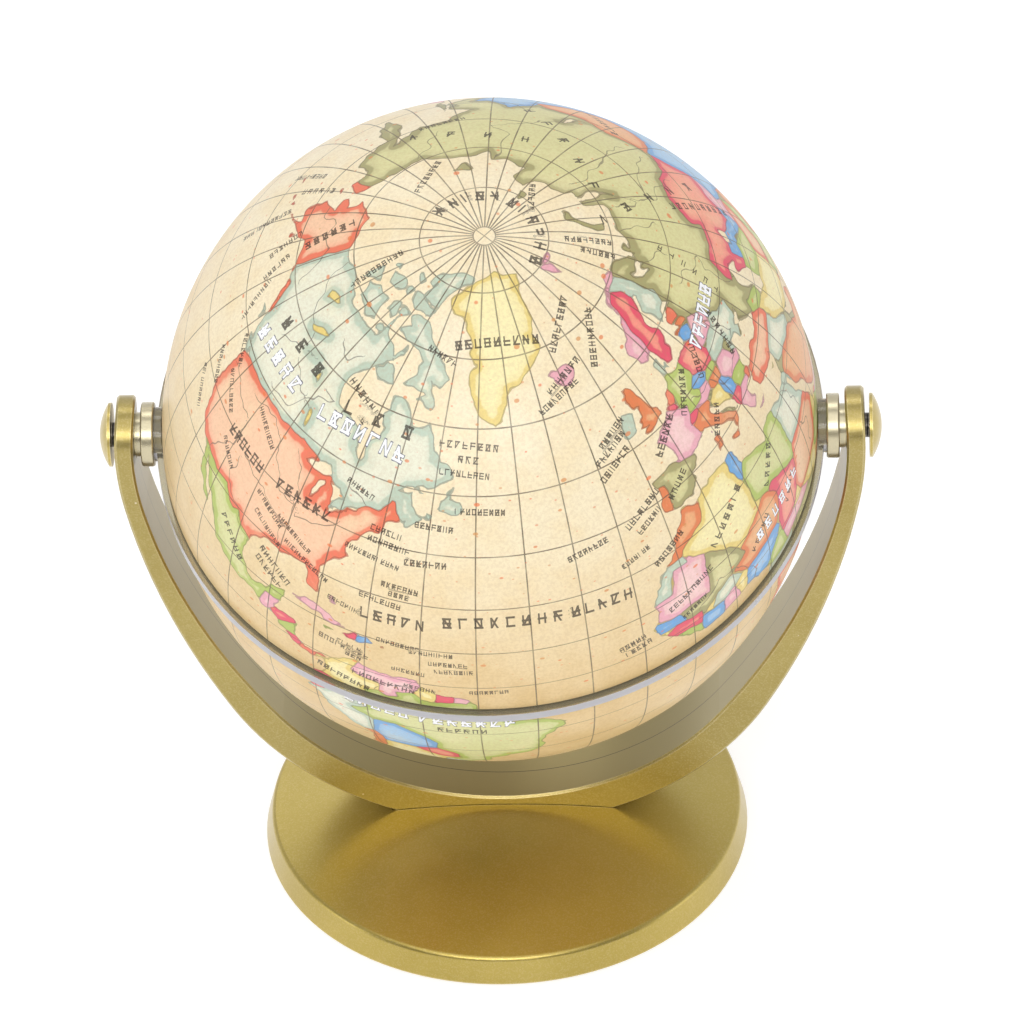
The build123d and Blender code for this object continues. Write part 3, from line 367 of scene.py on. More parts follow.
# Lettering: longitude,latitude of the middle, number of letters, height in mm, pitch along the line in mm,
# and direction in degrees.
WORDS = """
-110.2,58.3 3 2.1 5.2 2
-76.2,58.0 3 2.1 5.2 0
-106.5,40 6 1.8 1.65 0
-88.5,40.6 6 1.8 1.9 2
-101,23 6 1.3 1.4 -38
-41,72.5 9 1.5 1.5 -2
-18.5,65 7 1.1 1.1 24
-65,25.6 5 2.0 2.3 0
-44.5,27.2 8 2.0 2.5 0
-26,26.8 5 2.0 2.2 -2
-60,38 7 1.1 1.0 3
-52,57.5 8 1.1 1.2 -4
-52,55.4 3 1.1 1.2 -4
-86,59.8 6 1.2 1.3 -22
-85,57.3 3 1.2 1.3 -22
-90,25.3 7 1.2 1.1 -26
-91,23.2 6 1.2 1.1 -26
-74,15 9 1.1 1.0 -8
-72,13.3 3 1.1 1.0 -8
-66.5,6.8 9 1.3 1.2 -8
-74,3.5 8 1.3 1.2 -14
-53,-8.5 6 1.4 1.4 0
-60,7.5 6 1.0 0.9 -6
-48,8 8 0.9 0.8 2
-68,29 8 1.0 0.9 -5
-58,19 9 0.9 0.8 0
-55,16.5 8 0.9 0.8 0
-54,14.5 8 0.9 0.8 2
-64,20 9 0.9 0.8 -4
-75,25.5 7 0.9 0.8 -8
-64.5,32.5 7 1.0 0.9 -4
-64.5,31 4 0.9 0.9 -4
-69,42 6 1.0 0.9 -6
-68,40 8 1.0 0.9 -6
-59,44.5 7 1.0 0.9 -2
-49,47.5 9 1.0 0.9 -2
-53,53.3 9 1.0 0.9 -4
-71,37 12 0.9 0.8 -8
-77,47.3 6 0.9 0.9 -14
-88,34 10 0.9 0.8 -20
-84,30.5 12 0.9 0.8 -18
-95,35 9 0.9 0.8 -22
-94,31.5 9 0.9 0.8 -24
-105,45.5 9 0.9 0.8 -26
-110,36 7 0.9 0.8 -30
-119,43 9 0.9 0.8 -34
-125,48 7 0.9 0.8 -38
-127,42 8 0.9 0.8 -40
-127,36 9 0.9 0.8 -42
-150,65 6 1.4 1.6 -66
-150,57 7 1.0 1.0 -60
-143,56 6 1.0 1.0 -60
-136,52 9 0.9 0.9 -56
-170,58 6 1.1 1.3 -86
-176,53 9 1.0 0.9 -86
-160,50 12 1.0 0.9 -70
-23,62.5 9 1.0 0.9 20
-13,54 6 1.1 1.0 24
-15,52 7 1.1 1.0 24
-15.5,49.5 7 1.1 1.0 26
-9,72 9 1.1 1.1 40
-1,67.5 9 1.1 1.1 52
-1,48.5 6 1.3 1.2 34
-13.5,40.5 8 1.1 1.0 24
-13,38 6 1.0 0.9 24
-4,40.5 5 1.1 1.1 30
3,28 7 1.4 1.6 30
-11,31 7 1.1 1.0 26
-9,19.5 10 1.1 1.0 18
17,27 5 1.3 1.5 44
-22,14 5 1.1 1.0 12
-21,12 5 1.1 1.0 12
-27,38 8 1.0 0.9 10
-18,33 7 0.9 0.8 14
-9,14.5 7 0.9 0.8 18
20,16.5 4 1.2 1.4 42
9,17 5 1.2 1.4 34
31,49 7 1.1 1.2 60
10,51 7 1.1 1.1 44
19.5,52 6 1.1 1.1 52
12.5,43 5 1.1 1.1 44
45,57 6 1.1 2.3 70
68,62 5 1.7 6.0 108
100,64 5 1.7 6.0 144
132,66 4 1.7 6.0 172
68,48.5 10 1.3 1.6 96
103,46.8 8 1.2 1.4 138
28,81.3 2 1.9 2.8 0
62,81.8 2 1.9 2.6 0
94,82 2 1.9 2.3 0
132,81.9 2 1.9 2.3 0
163,81.7 2 1.9 2.3 0
188,81.2 1 1.9 2.3 0
45,74 8 1.0 1.0 92
38,72.5 6 1.0 1.0 90
90,79 6 1.0 1.0 128
-125,73 10 1.0 1.0 -75
-66,69.8 6 1.0 0.9 -20
-73,15.8 5 1.0 0.9 -8
-62,13 7 0.9 0.8 -4
165,74 8 1.0 1.0 -148
145,60 8 1.0 1.0 -170
"""
BIG_WORDS = """
-114.9,53.9 5 2.3 2.9 4
-82,54.9 7 2.3 2.4 0
-68,-2.6 5 2.2 2.3 -4
-52,-3.6 7 2.2 2.3 0
32,53.3 6 2.3 2.0 0
16,17 6 2.0 2.5 3
"""

# Display colours, 0-255. Each tint has a fill and a rim.
TINTS = {
    "Y": ((249, 237, 180), (232, 206, 118)),
    "G": ((219, 219, 158), (172, 192, 92)),
    "M": ((236, 235, 212), (184, 202, 182)),
    "S": ((249, 202, 166), (234, 102, 76)),
    "P": ((247, 208, 205), (233, 165, 182)),
    "R": ((250, 164, 140), (226, 66, 104)),
    "U": ((164, 203, 236), (98, 160, 216)),
    "V": ((219, 214, 156), (158, 152, 104)),
    "O": ((240, 180, 130), (226, 120, 74)),
}
NORTH_CREAM, NORTH_TAN = (249, 235, 202), (246, 227, 187)
# The southern cream and tan are darker: painted shade below the ring.
SHADED_SOUTH_CREAM, SHADED_SOUTH_TAN = (229, 199, 145), (220, 187, 129)
PALE_WASH = (250, 236, 190)
GRID_INK = (98, 86, 70)
RIVER_INK = (96, 88, 78)
BORDER_INK = (70, 60, 52)
RED_INK, BROWN_INK = (236, 112, 62), (214, 150, 84)
PRESS_GRAIN = (176, 138, 92)
LETTER_INK = (56, 46, 38)
HALO_INK = (84, 84, 104)
BIG_LETTER_WHITE = (250, 250, 252)
RIM_PLASTIC = (190, 180, 146)
FLAKE_GLINT = (255, 240, 200)
DUST = (235, 225, 200)
# Painted highlight drawn along the bevelled edges of the gold paint.
PAINTED_EDGE_HIGHLIGHT = (248, 236, 190)
# Painted shade on the arm's inner face, the side turned to the ball.
SHADED_INNER_FACE = (150, 136, 86)
SEAM_SHADE = (84, 74, 52)
# Painted highlight on the crests of the black screw thread.
THREAD_CREST_HIGHLIGHT = (150, 142, 132)
# The ring's sawn edge is matt, and its paler colour is a painted highlight.
CLEAR_BODY, SAWN_EDGE_HIGHLIGHT = (200, 192, 166), (220, 219, 226)
# Ink specks: cells per metre, how rare they are, how strong.
SPECKS = ((430.0, 0.3, 0.75), (800.0, 0.45, 0.55))


def display(rgb):
    """Display colour 0-255 to the linear values a shader takes."""
    return tuple((c / 255) ** 2.2 for c in rgb) + (1.0,)


def place(lon, lat):
    """Unit vector of a printed point, before the polar axis is leant over."""
    colat = np.radians(np.interp(90 - np.asarray(lat, float), TRUE_COLAT, PRINT_COLAT))
    turn = np.radians(np.asarray(lon, float) - FRONT_LON)
    point = np.stack([np.sin(colat) * np.sin(turn), -np.sin(colat) * np.cos(turn), np.cos(colat)], -1)
    return slipped(point, 1)


def slipped(points, way):
    """Move points with the print, which sits a little off the pole; way -1 takes the slip out again."""
    moved = np.array(points, float)
    moved[..., :2] += way * np.array(PRINT_SLIP) / BALL_R * np.maximum(moved[..., 2:], 0) ** 2
    return moved / np.linalg.norm(moved, axis=-1, keepdims=True)


def rows(text):
    """Rows of one of the lists above."""
    return text.strip().replace("\n  ", " ").splitlines()


def corners(text):
    """The longitude and latitude pairs of one row."""
    return [tuple(float(n) for n in pair.split(",")) for pair in text.split()]


def finely(points, closed=True):
    """Outline with corners at most 3 degrees apart, so that parallels stay parallels."""
    out = []
    ends = points[1:] + points[:1] if closed else points[1:]
    for (lon0, lat0), (lon1, lat1) in zip(points, ends):
        span = max(abs(lon1 - lon0) * math.cos(math.radians(lat0)), abs(lat1 - lat0))
        count = max(1, math.ceil(span / 3))
        for i in range(count):
            out.append((lon0 + (lon1 - lon0) * i / count, lat0 + (lat1 - lat0) * i / count))
    if not closed:
        out.append(points[-1])
    return place([p[0] for p in out], [p[1] for p in out])


def signed_distance(points, outline):
    """Millimetres from each point to the outline, positive inside and no further out than FAR_MM."""
    ring = finely(outline)
    middle = ring.mean(0)
    middle /= np.linalg.norm(middle)
    reach = np.arccos(np.clip((ring @ middle).min(), -1, 1)) + FAR_MM / BALL_R
    near = points @ middle > math.cos(min(reach, 3.1))
    p = points[near]
    best = np.full(len(p), 9.0, np.float32)
    wind = np.zeros(len(p), np.float32)
    for a, b in zip(ring, np.roll(ring, -1, 0)):
        ab = b - a
        ap = p - a
        t = np.clip(ap @ ab / (ab @ ab), 0, 1)
        best = np.minimum(best, ((ap - t[:, None] * ab) ** 2).sum(1))
        wind += np.arctan2(p @ np.cross(a, b), a @ b - (p @ a) * (p @ b))
    inside = (np.abs(wind) > math.pi) & (p @ middle > -0.2)
    out = np.full(len(points), -FAR_MM, np.float32)
    away = np.sqrt(best) * BALL_R
    out[near] = np.clip(np.where(inside, away, -away), -FAR_MM, FAR_MM)
    return out


def ragged(points, amount, seed):
    """Points moved by a little smooth noise, so that coasts and borders are not ruled lines."""
    rng = np.random.default_rng(seed)
    moved = points.copy()
    for wave in (5.0, 3.2, 2.1, 1.5):
        for _ in range(3):
            way = rng.normal(size=3)
            way *= 2 * math.pi * BALL_R / wave / np.linalg.norm(way)
            push = rng.normal(size=3)
            push *= amount * (wave / 3.2) ** 0.7 / BALL_R / np.linalg.norm(push)
            moved += np.sin(points @ way + rng.uniform(0, 6.3))[:, None] * push
    return (moved / np.linalg.norm(moved, axis=1, keepdims=True)).astype(np.float32)


def tint_fields(points):
    """For each tint, how far inside its countries each point lies, in millimetres."""
    fields = {tint: np.full(len(points), -FAR_MM, np.float32) for tint in TINTS}
    land = np.full(len(points), -FAR_MM, np.float32)
    coast = ragged(points, 0.16, 4)
    border = ragged(points, 0.09, 9)

    def paint(tint, inside):
        for name in fields:
            keep = np.maximum if name == tint else np.minimum
            fields[name] = keep(fields[name], inside if name == tint else -inside)

    for line in rows(LAND):
        inside = signed_distance(coast, corners(line[2:]))
        land = np.maximum(land, inside)
        paint(line[0], inside)
    for line in rows(COUNTRIES) + rows(NORTH_LAKES):
        paint(line[0], signed_distance(border, corners(line[2:])))
    for line in rows(WATER):
        land = np.minimum(land, -signed_distance(coast, corners(line)))
    return {tint: np.minimum(field, land) for tint, field in fields.items()}


def river_field(points):
    """Signed distance to the nearest river, and how near it is, in millimetres."""
    near = np.full(len(points), 9.0, np.float32)
    side = np.ones(len(points), np.float32)
    bent = ragged(points, 0.22, 21)
    for line in rows(RIVERS):
        run = finely(corners(line), closed=False)
        for a, b in zip(run[:-1], run[1:]):
            close = bent @ ((a + b) / 2) > 0.99
            ap = bent[close] - a
            ab = b - a
            t = np.clip(ap @ ab / (ab @ ab), 0, 1)
            away = np.sqrt(((ap - t[:, None] * ab) ** 2).sum(1)) * BALL_R
            where = np.flatnonzero(close)[away < near[close]]
            near[where] = away[away < near[close]]
            side[where] = np.sign(bent[where] @ np.cross(a, b))
    return side * near, near


def word_fields(points, words):
    """Letter position along the nearest word, height in the line, depth inside its box, and letter width."""
    along = np.zeros(len(points), np.float32)
    up = np.full(len(points), 9.0, np.float32)
    inside = np.full(len(points), -FAR_MM, np.float32)
    fill = np.full(len(points), 0.7, np.float32)
    for number, line in enumerate(rows(words)):
        spot, count, height, pitch, turn = line.split()
        count, height, pitch, turn = int(count), float(height), float(pitch), math.radians(float(turn))
        lon, lat = corners(spot)[0]
        middle = place(lon, lat)
        east = place(lon + 0.5, lat) - place(lon - 0.5, lat)
        east /= np.linalg.norm(east)
        north = np.cross(middle, east)
        line_way = east * math.cos(turn) + north * math.sin(turn)
        up_way = np.cross(middle, line_way)
        length = count * pitch
        x = np.arctan2(points @ line_way, points @ middle) * BALL_R
        y = np.arcsin(np.clip(points @ up_way, -1, 1)) * BALL_R
        depth = np.minimum(length / 2 - np.abs(x), height * 0.62 - np.abs(y))
        depth = np.where(points @ middle > 0, depth, -FAR_MM)
        here = (depth > inside) & (depth > -1.6)
        along[here] = (x[here] + length / 2) / pitch + 40 * number
        up[here] = y[here] / height
        inside[here] = depth[here]
        fill[here] = min(0.78, 0.72 * height / pitch)
    return along, up, inside, fill


# ---- small helpers for making pieces --------------------------------------------
def deselect():
    """Leave edit mode and select nothing."""
    if bpy.context.object and bpy.context.object.mode != "OBJECT":
        bpy.ops.object.mode_set(mode="OBJECT")
    bpy.ops.object.select_all(action="DESELECT")


def store(mesh, name, values):
    """Keep one number for each vertex."""
    mesh.attributes.new(name, "FLOAT", "POINT").data.foreach_set("value", np.asarray(values, np.float32))


class Tree:
    """Adds nodes to a node tree and joins them as they are made. A value of None leaves a socket alone."""

    def __init__(self, tree):
        self.tree = tree

    def add(self, kind, *values, **settings):
        """New node: values go to its sockets in order, named ones by name, and settings to the node."""
        made = self.tree.nodes.new(kind)
        named = settings.pop("named", {})
        for key, value in settings.items():
            setattr(made, key, value)
        for key, value in list(enumerate(values)) + list(named.items()):
            if value is None:
                continue
            if isinstance(value, bpy.types.NodeSocket):
                self.tree.links.new(value, made.inputs[key])
            else:
                made.inputs[key].default_value = value
        return made

    def math(self, operation, *values):
        """Result of a sum done by a math node."""
        return self.add("ShaderNodeMath", *values, operation=operation).outputs[0]

    def mix(self, factor, a, b):
        """Colour a where the factor is 0, and b where it is 1."""
        made = self.add("ShaderNodeMix", data_type="RGBA")
        for index, value in ((0, factor), (6, a), (7, b)):
            if isinstance(value, bpy.types.NodeSocket):
                self.tree.links.new(value, made.inputs[index])
            else:
                made.inputs[index].default_value = value
        return made.outputs[2]

    def step(self, value, low, high):
        """Smooth step from 0 at low to 1 at high."""
        kind = {"interpolation_type": "SMOOTHSTEP"}
        return self.add("ShaderNodeMapRange", value, low, high, 0.0, 1.0, **kind).outputs[0]

    def read(self, name):
        """One of the numbers that store() keeps."""
        return self.add("ShaderNodeAttribute", attribute_name=name).outputs["Fac"]

    def noise(self, vector, scale, detail=3.0, rough=0.55):
        """Smooth noise from 0 to 1."""
        return self.add("ShaderNodeTexNoise", vector, None, scale, detail, rough).outputs[0]

    def bump(self, shader, strength, depth_mm, height):
        """Surface relief on a shader."""
        sockets = {"Strength": strength, "Distance": depth_mm * MM, "Height": height}
        made = self.add("ShaderNodeBump", named=sockets)
        self.tree.links.new(made.outputs[0], shader.inputs["Normal"])


def group(name, inputs, outputs):
    """New shader node group with its sockets, and the helper that fills it."""
    made = bpy.data.node_groups.new(name, "ShaderNodeTree")
    for label, kind in inputs:
        made.interface.new_socket(label, in_out="INPUT", socket_type=kind)
    for label, kind in outputs:
        made.interface.new_socket(label, in_out="OUTPUT", socket_type=kind)
    return made, Tree(made), made.nodes.new("NodeGroupInput"), made.nodes.new("NodeGroupOutput")


FLOAT = "NodeSocketFloat"


def lettering_group():
    """Made-up letter shapes from a position along a line of words. They never make a real word."""
    made, t, inn, out = group(
        "letter_strokes",
        [("Along", FLOAT), ("Up", FLOAT), ("Inside", FLOAT), ("Width", FLOAT), ("Stroke", FLOAT)],
        [("Ink", FLOAT), ("Halo", FLOAT)],
    )
    letter = t.math("FLOOR", inn.outputs["Along"])
    x = t.math("DIVIDE", t.math("FRACT", inn.outputs["Along"]), inn.outputs["Width"])
    y = t.math("ADD", inn.outputs["Up"], 0.5)
    stroke = inn.outputs["Stroke"]
    dice = t.add("ShaderNodeTexWhiteNoise", noise_dimensions="1D")
    t.tree.links.new(letter, dice.inputs["W"])
    red, green, blue = t.add("ShaderNodeSeparateColor", dice.outputs["Color"]).outputs

    def off(value, line):
        return t.math("ABSOLUTE", t.math("SUBTRACT", value, line))

    def thrown_again(value, factor):
        return t.math("FRACT", t.math("MULTIPLY", value, factor))

    rise = t.math("MULTIPLY", y, LETTER_RIGHT - LETTER_LEFT)
    rising = t.math("MULTIPLY", off(x, t.math("ADD", LETTER_LEFT, rise)), SLANT_SQUEEZE)
    falling = t.math("MULTIPLY", off(x, t.math("SUBTRACT", LETTER_RIGHT, rise)), SLANT_SQUEEZE)
    strokes = (
        (off(x, LETTER_LEFT), None),
        (off(x, LETTER_RIGHT), t.math("GREATER_THAN", red, 0.45)),
        (off(y, LETTER_TOP), t.math("GREATER_THAN", green, 0.5)),
        (off(y, LETTER_WAIST), t.math("GREATER_THAN", blue, 0.4)),
        (off(y, LETTER_FOOT), t.math("LESS_THAN", thrown_again(red, 7.3), 0.5)),
        (rising, t.math("GREATER_THAN", thrown_again(green, 5.1), 0.62)),
        (falling, t.math("GREATER_THAN", thrown_again(blue, 6.7), 0.62)),
    )
    nearest = None
    for gap, drawn in strokes:
        if drawn is not None:
            gap = t.math("ADD", gap, t.math("SUBTRACT", 1.0, drawn))
        nearest = gap if nearest is None else t.math("MINIMUM", nearest, gap)
    box = t.math("MAXIMUM", off(x, (LETTER_LEFT + LETTER_RIGHT) / 2), off(y, LETTER_WAIST))
    in_word = t.math("GREATER_THAN", inn.outputs["Inside"], 0.0)
    for socket, reach, half_box in (("Ink", stroke, 0.52), ("Halo", t.math("ADD", stroke, HALO_WIDTH), 0.6)):
        in_letter = t.math("MULTIPLY", t.math("LESS_THAN", box, half_box), in_word)
        drawn = t.math("MULTIPLY", t.math("LESS_THAN", nearest, reach), in_letter)
        t.tree.links.new(drawn, out.inputs[socket])
    return made


def ball_axes(t, spot):
    """Object coordinates turned to the ball's own axes, its centre at the origin."""
    return t.add(
        "ShaderNodeMapping", spot, vector_type="TEXTURE",
        named={"Location": (0, 0, PIVOT_Z * MM), "Rotation": (LEAN, 0, 0)},
    ).outputs[0]


def from_axis(t, x, y):
    """Distance from the polar axis, in metres."""
    return t.math("SQRT", t.math("ADD", t.math("POWER", x, 2.0), t.math("POWER", y, 2.0)))


def to_nearest(t, value, pitch):
    """How far an angle is from the nearest multiple of the pitch."""
    half = pitch / 2
    from_half = t.math("SUBTRACT", t.math("MODULO", value, pitch), half)
    return t.math("SUBTRACT", half, t.math("ABSOLUTE", from_half))


def paper_colour(t, wash, own_z):
    """Cream, darker towards the south: painted shade on the half below the ring, paler towards the north
    pole.
    """
    out_of_painted_shade = t.step(own_z, -0.1, 0.8)
    pale = t.mix(out_of_painted_shade, display(SHADED_SOUTH_CREAM), display(NORTH_CREAM))
    tan = t.mix(out_of_painted_shade, display(SHADED_SOUTH_TAN), display(NORTH_TAN))
    return t.mix(t.step(wash, 0.35, 0.7), pale, tan)


def country_colours(t, wash, paper):
    """Paper and countries, how deep inside a country each point lies, and that country's rim colour."""
    depth = t.read("tint_Y")
    fill, rim = display(TINTS["Y"][0]), display(TINTS["Y"][1])
    for name in list(TINTS)[1:]:
        other = t.read("tint_" + name)
        wins = t.math("GREATER_THAN", other, depth)
        fill = t.mix(wins, fill, display(TINTS[name][0]))
        rim = t.mix(wins, rim, display(TINTS[name][1]))
        depth = t.math("MAXIMUM", depth, other)
    uneven = t.math("ADD", depth, t.math("MULTIPLY", t.math("SUBTRACT", wash, 0.5), 1.6))
    band = t.math("SUBTRACT", 1.0, t.step(uneven, 0.75, 1.15))
    fade = t.math("SUBTRACT", 1.0, t.step(uneven, 0.3, 2.6))
    tint = t.mix(t.math("MULTIPLY", fade, 0.35), fill, rim)
    tint = t.mix(t.math("MULTIPLY", band, 0.8), tint, rim)
    tint = t.mix(t.math("MULTIPLY", t.step(wash, 0.5, 0.75), 0.25), tint, display(PALE_WASH))
    return t.mix(t.math("GREATER_THAN", depth, 0.0), paper, tint), depth, rim


def grid_lines(t, axes, own_z):
    """Meridians and parallels every ten degrees, and the small circle and cross at the pole."""
    slip = t.math("POWER", t.math("MAXIMUM", own_z, 0.0), 2.0)
    map_x = t.math("SUBTRACT", axes.outputs[0], t.math("MULTIPLY", slip, PRINT_SLIP[0] * MM))
    map_y = t.math("SUBTRACT", axes.outputs[1], t.math("MULTIPLY", slip, PRINT_SLIP[1] * MM))
    turn = t.math("DEGREES", t.math("ARCTAN2", map_x, t.math("MULTIPLY", map_y, -1.0)))
    lon = t.math("ADD", turn, FRONT_LON + 360.0)
    from_pole = t.math("DIVIDE", from_axis(t, map_x, map_y), MM)
    meridian_off = t.math("MULTIPLY", t.math("RADIANS", to_nearest(t, lon, GRID_STEP)), from_pole)
    past_circle = t.math("GREATER_THAN", from_pole, POLE_CIRCLE)
    meridians = t.math("MULTIPLY", t.math("LESS_THAN", meridian_off, MERIDIAN_HALF), past_circle)
    cross_off = t.math("MULTIPLY", t.math("RADIANS", to_nearest(t, lon, 90.0)), from_pole)
    cross = t.math("LESS_THAN", cross_off, CROSS_HALF)
    circle_off = t.math("ABSOLUTE", t.math("SUBTRACT", from_pole, POLE_CIRCLE))
    circle = t.math("LESS_THAN", circle_off, CIRCLE_HALF)
    lat = t.read("latitude")
    parallel_off = t.math("MULTIPLY", to_nearest(t, t.math("ADD", lat, 90.0), GRID_STEP), MM_PER_DEGREE)
    short_of_pole = t.math("LESS_THAN", t.math("ABSOLUTE", lat), LAST_PARALLEL)
    parallels = t.math("MULTIPLY", t.math("LESS_THAN", parallel_off, PARALLEL_HALF), short_of_pole)
    lines = meridians
    for more in (cross, circle, parallels):
        lines = t.math("MAXIMUM", lines, more)
    return lines


def river_lines(t, depth):
    """Rivers, on land only."""
    line = t.math("LESS_THAN", t.math("ABSOLUTE", t.read("river_side")), RIVER_HALF)
    line = t.math("MULTIPLY", line, t.math("LESS_THAN", t.read("river_near"), 0.6))
    return t.math("MULTIPLY", line, t.math("GREATER_THAN", depth, 0.15))


def ink_specks(t, polar, ground):
    """Ground with tiny drops of red and brown ink."""
    stretched = t.add("ShaderNodeMapping", polar, named={"Scale": (0.7, 0.7, 1.4)}).outputs[0]
    for density, threshold, strength in SPECKS:
        cells = t.add("ShaderNodeTexVoronoi", stretched, None, density)
        dice = t.add("ShaderNodeSeparateColor", cells.outputs["Color"])
        size = t.math("MULTIPLY", dice.outputs[0], 0.13)
        past_edge = t.math("SUBTRACT", cells.outputs["Distance"], size)
        speck = t.math("SUBTRACT", 1.0, t.step(past_edge, 0.0, 0.05))
        speck = t.math("MULTIPLY", speck, t.math("GREATER_THAN", dice.outputs[1], threshold))
        ink = t.mix(dice.outputs[2], display(RED_INK), display(BROWN_INK))
        ground = t.mix(t.math("MULTIPLY", speck, strength), ground, ink)
    return ground


def letters_of(t, kind, stroke, shapes):
    """Ink and halo of the small or the big words."""
    words = t.add("ShaderNodeGroup")
    words.node_tree = shapes
    for socket in ("Along", "Up", "Inside", "Width"):
        t.tree.links.new(t.read(f"{kind}_{socket.lower()}"), words.inputs[socket])
    words.inputs["Stroke"].default_value = stroke
    return words.outputs


def print_material():
    """The printed map: tinted countries, rivers, grid lines, specks of ink and lettering on cream."""
    mat = bpy.data.materials.new("printed_map")
    mat.use_nodes = True
    t = Tree(mat.node_tree)
    shader = mat.node_tree.nodes["Principled BSDF"]
    polar = ball_axes(t, t.add("ShaderNodeTexCoord").outputs["Object"])
    wash = t.noise(polar, 130.0, 5.0, 0.6)
    grain = t.noise(polar, 1500.0, 2.0, 0.6)
    axes = t.add("ShaderNodeSeparateXYZ", polar)
    own_z = t.math("DIVIDE", t.math("SUBTRACT", axes.outputs[2], RIM_Z * MM), BALL_R * MM)
    ground, depth, rim = country_colours(t, wash, paper_colour(t, wash, own_z))

    faded = t.step(t.noise(polar, 300.0, 2.0), 0.3, 0.7)
    strength = t.math("ADD", 0.6, t.math("MULTIPLY", faded, 0.3))
    ground = t.mix(t.math("MULTIPLY", grid_lines(t, axes, own_z), strength), ground, display(GRID_INK))
    ground = t.mix(t.math("MULTIPLY", river_lines(t, depth), 0.65), ground, display(RIVER_INK))
    border = t.math("LESS_THAN", t.math("ABSOLUTE", depth), BORDER_HALF)
    ground = t.mix(t.math("MULTIPLY", border, 0.72), ground, t.mix(0.55, rim, display(BORDER_INK)))
    ground = ink_specks(t, polar, ground)
    mottle = t.step(t.noise(polar, 1900.0, 2.0, 0.7), 0.35, 0.62)
    ground = t.mix(t.math("MULTIPLY", t.math("SUBTRACT", 1.0, mottle), 0.16), ground, display(PRESS_GRAIN))

    shapes = lettering_group()
    small = letters_of(t, "word", SMALL_STROKE, shapes)
    ground = t.mix(t.math("MULTIPLY", small["Ink"], 0.85), ground, display(LETTER_INK))
    big = letters_of(t, "big", BIG_STROKE, shapes)
    ground = t.mix(t.math("MULTIPLY", big["Halo"], 0.9), ground, display(HALO_INK))
    ground = t.mix(big["Ink"], ground, display(BIG_LETTER_WHITE))

    # the flat rim of each half is bare plastic
    skin = t.math("GREATER_THAN", t.math("ABSOLUTE", axes.outputs[2]), (RIM_Z + 0.02) * MM)
    ground = t.mix(skin, display(RIM_PLASTIC), ground)
    t.tree.links.new(ground, shader.inputs["Base Color"])
    rough = t.math("ADD", 0.34, t.math("MULTIPLY", wash, 0.12))
    t.tree.links.new(rough, shader.inputs["Roughness"])
    shader.inputs["Specular IOR Level"].default_value = 0.35
    shader.inputs["Coat Weight"].default_value = 0.12
    shader.inputs["Coat Roughness"].default_value = 0.22
    t.bump(shader, 0.06, 0.05, grain)
    return mat


def metal_material(name, dark, light, rough, flake, inner_shade_and_seam=False):
    """Satin metallic paint: fine flake grain, faint cloudiness, specks of dust, thin bright edges that are a
    painted highlight, and on request painted shade on faces turned in towards the ball.
    """
    mat = bpy.data.materials.new(name)
    mat.use_nodes = True
    t = Tree(mat.node_tree)
    shader = mat.node_tree.nodes["Principled BSDF"]
    spot = t.add("ShaderNodeTexCoord").outputs["Object"]
    flakes = t.add("ShaderNodeTexVoronoi", spot, None, 5200.0)
    shade = t.add("ShaderNodeSeparateColor", flakes.outputs["Color"]).outputs[0]
    cloud = t.noise(spot, 45.0, 4.0, 0.6)
    base = t.mix(t.step(cloud, 0.3, 0.7), display(dark), display(light))
    base = t.mix(t.math("MULTIPLY", t.math("SUBTRACT", shade, 0.5), flake), base, display(FLAKE_GLINT))
    pits = t.add("ShaderNodeTexVoronoi", spot, None, 260.0)
    chosen = t.math("GREATER_THAN", t.add("ShaderNodeSeparateColor", pits.outputs["Color"]).outputs[0], 0.8)
    dust = t.math("MULTIPLY", t.math("LESS_THAN", pits.outputs["Distance"], 0.05), chosen)
    base = t.mix(t.math("MULTIPLY", dust, 0.6), base, display(DUST))
    # painted highlight: bevelled edges are drawn brighter, standing in for the bright reflections along them
    bevel = t.add("ShaderNodeBevel", EDGE_HIGHLIGHT_REACH * MM, samples=4)
    plain = t.add("ShaderNodeNewGeometry").outputs["Normal"]
    turned = t.add("ShaderNodeVectorMath", bevel.outputs[0], plain, operation="DOT_PRODUCT").outputs["Value"]
    edge_highlight = t.math("SUBTRACT", 1.0, t.step(turned, 0.86, 0.985))
    if inner_shade_and_seam:
        off_seam = t.math("ABSOLUTE", t.add("ShaderNodeSeparateXYZ", spot).outputs[1])
        edge_highlight = t.math("MULTIPLY", edge_highlight, t.math("GREATER_THAN", off_seam, 1.0 * MM))
    base = t.mix(t.math("MULTIPLY", edge_highlight, 0.6), base, display(PAINTED_EDGE_HIGHLIGHT))
    # painted shade: faces turned in towards the ball are drawn darker
    if inner_shade_and_seam:
        centre = (0, 0, PIVOT_Z * MM)
        from_pivot = t.add("ShaderNodeVectorMath", spot, centre, operation="SUBTRACT").outputs["Vector"]
        outward = t.add("ShaderNodeVectorMath", from_pivot, operation="NORMALIZE").outputs["Vector"]
        facing = t.add("ShaderNodeVectorMath", outward, plain, operation="DOT_PRODUCT").outputs["Value"]
        shaded_inner_face = t.step(t.math("MULTIPLY", facing, -1.0), 0.7, 0.8)
        base = t.mix(shaded_inner_face, base, display(SHADED_INNER_FACE))
        seam = t.math("LESS_THAN", off_seam, SEAM_HALF * MM)
        base = t.mix(t.math("MULTIPLY", seam, t.math("LESS_THAN", facing, -0.7)), base, display(SEAM_SHADE))
    t.tree.links.new(base, shader.inputs["Base Color"])
    shader.inputs["Metallic"].default_value = 0.8
    shader.inputs["Coat Weight"].default_value = 0.6
    shader.inputs["Coat Roughness"].default_value = 0.32
    uneven = t.math("ADD", rough, t.math("MULTIPLY", t.math("SUBTRACT", cloud, 0.5), 0.16))
    t.tree.links.new(uneven, shader.inputs["Roughness"])
    tooth = t.math("ADD", t.math("MULTIPLY", shade, 0.7), t.noise(spot, 900.0, 3.0, 0.6))
    t.bump(shader, 0.12, 0.04, tooth)
    return mat


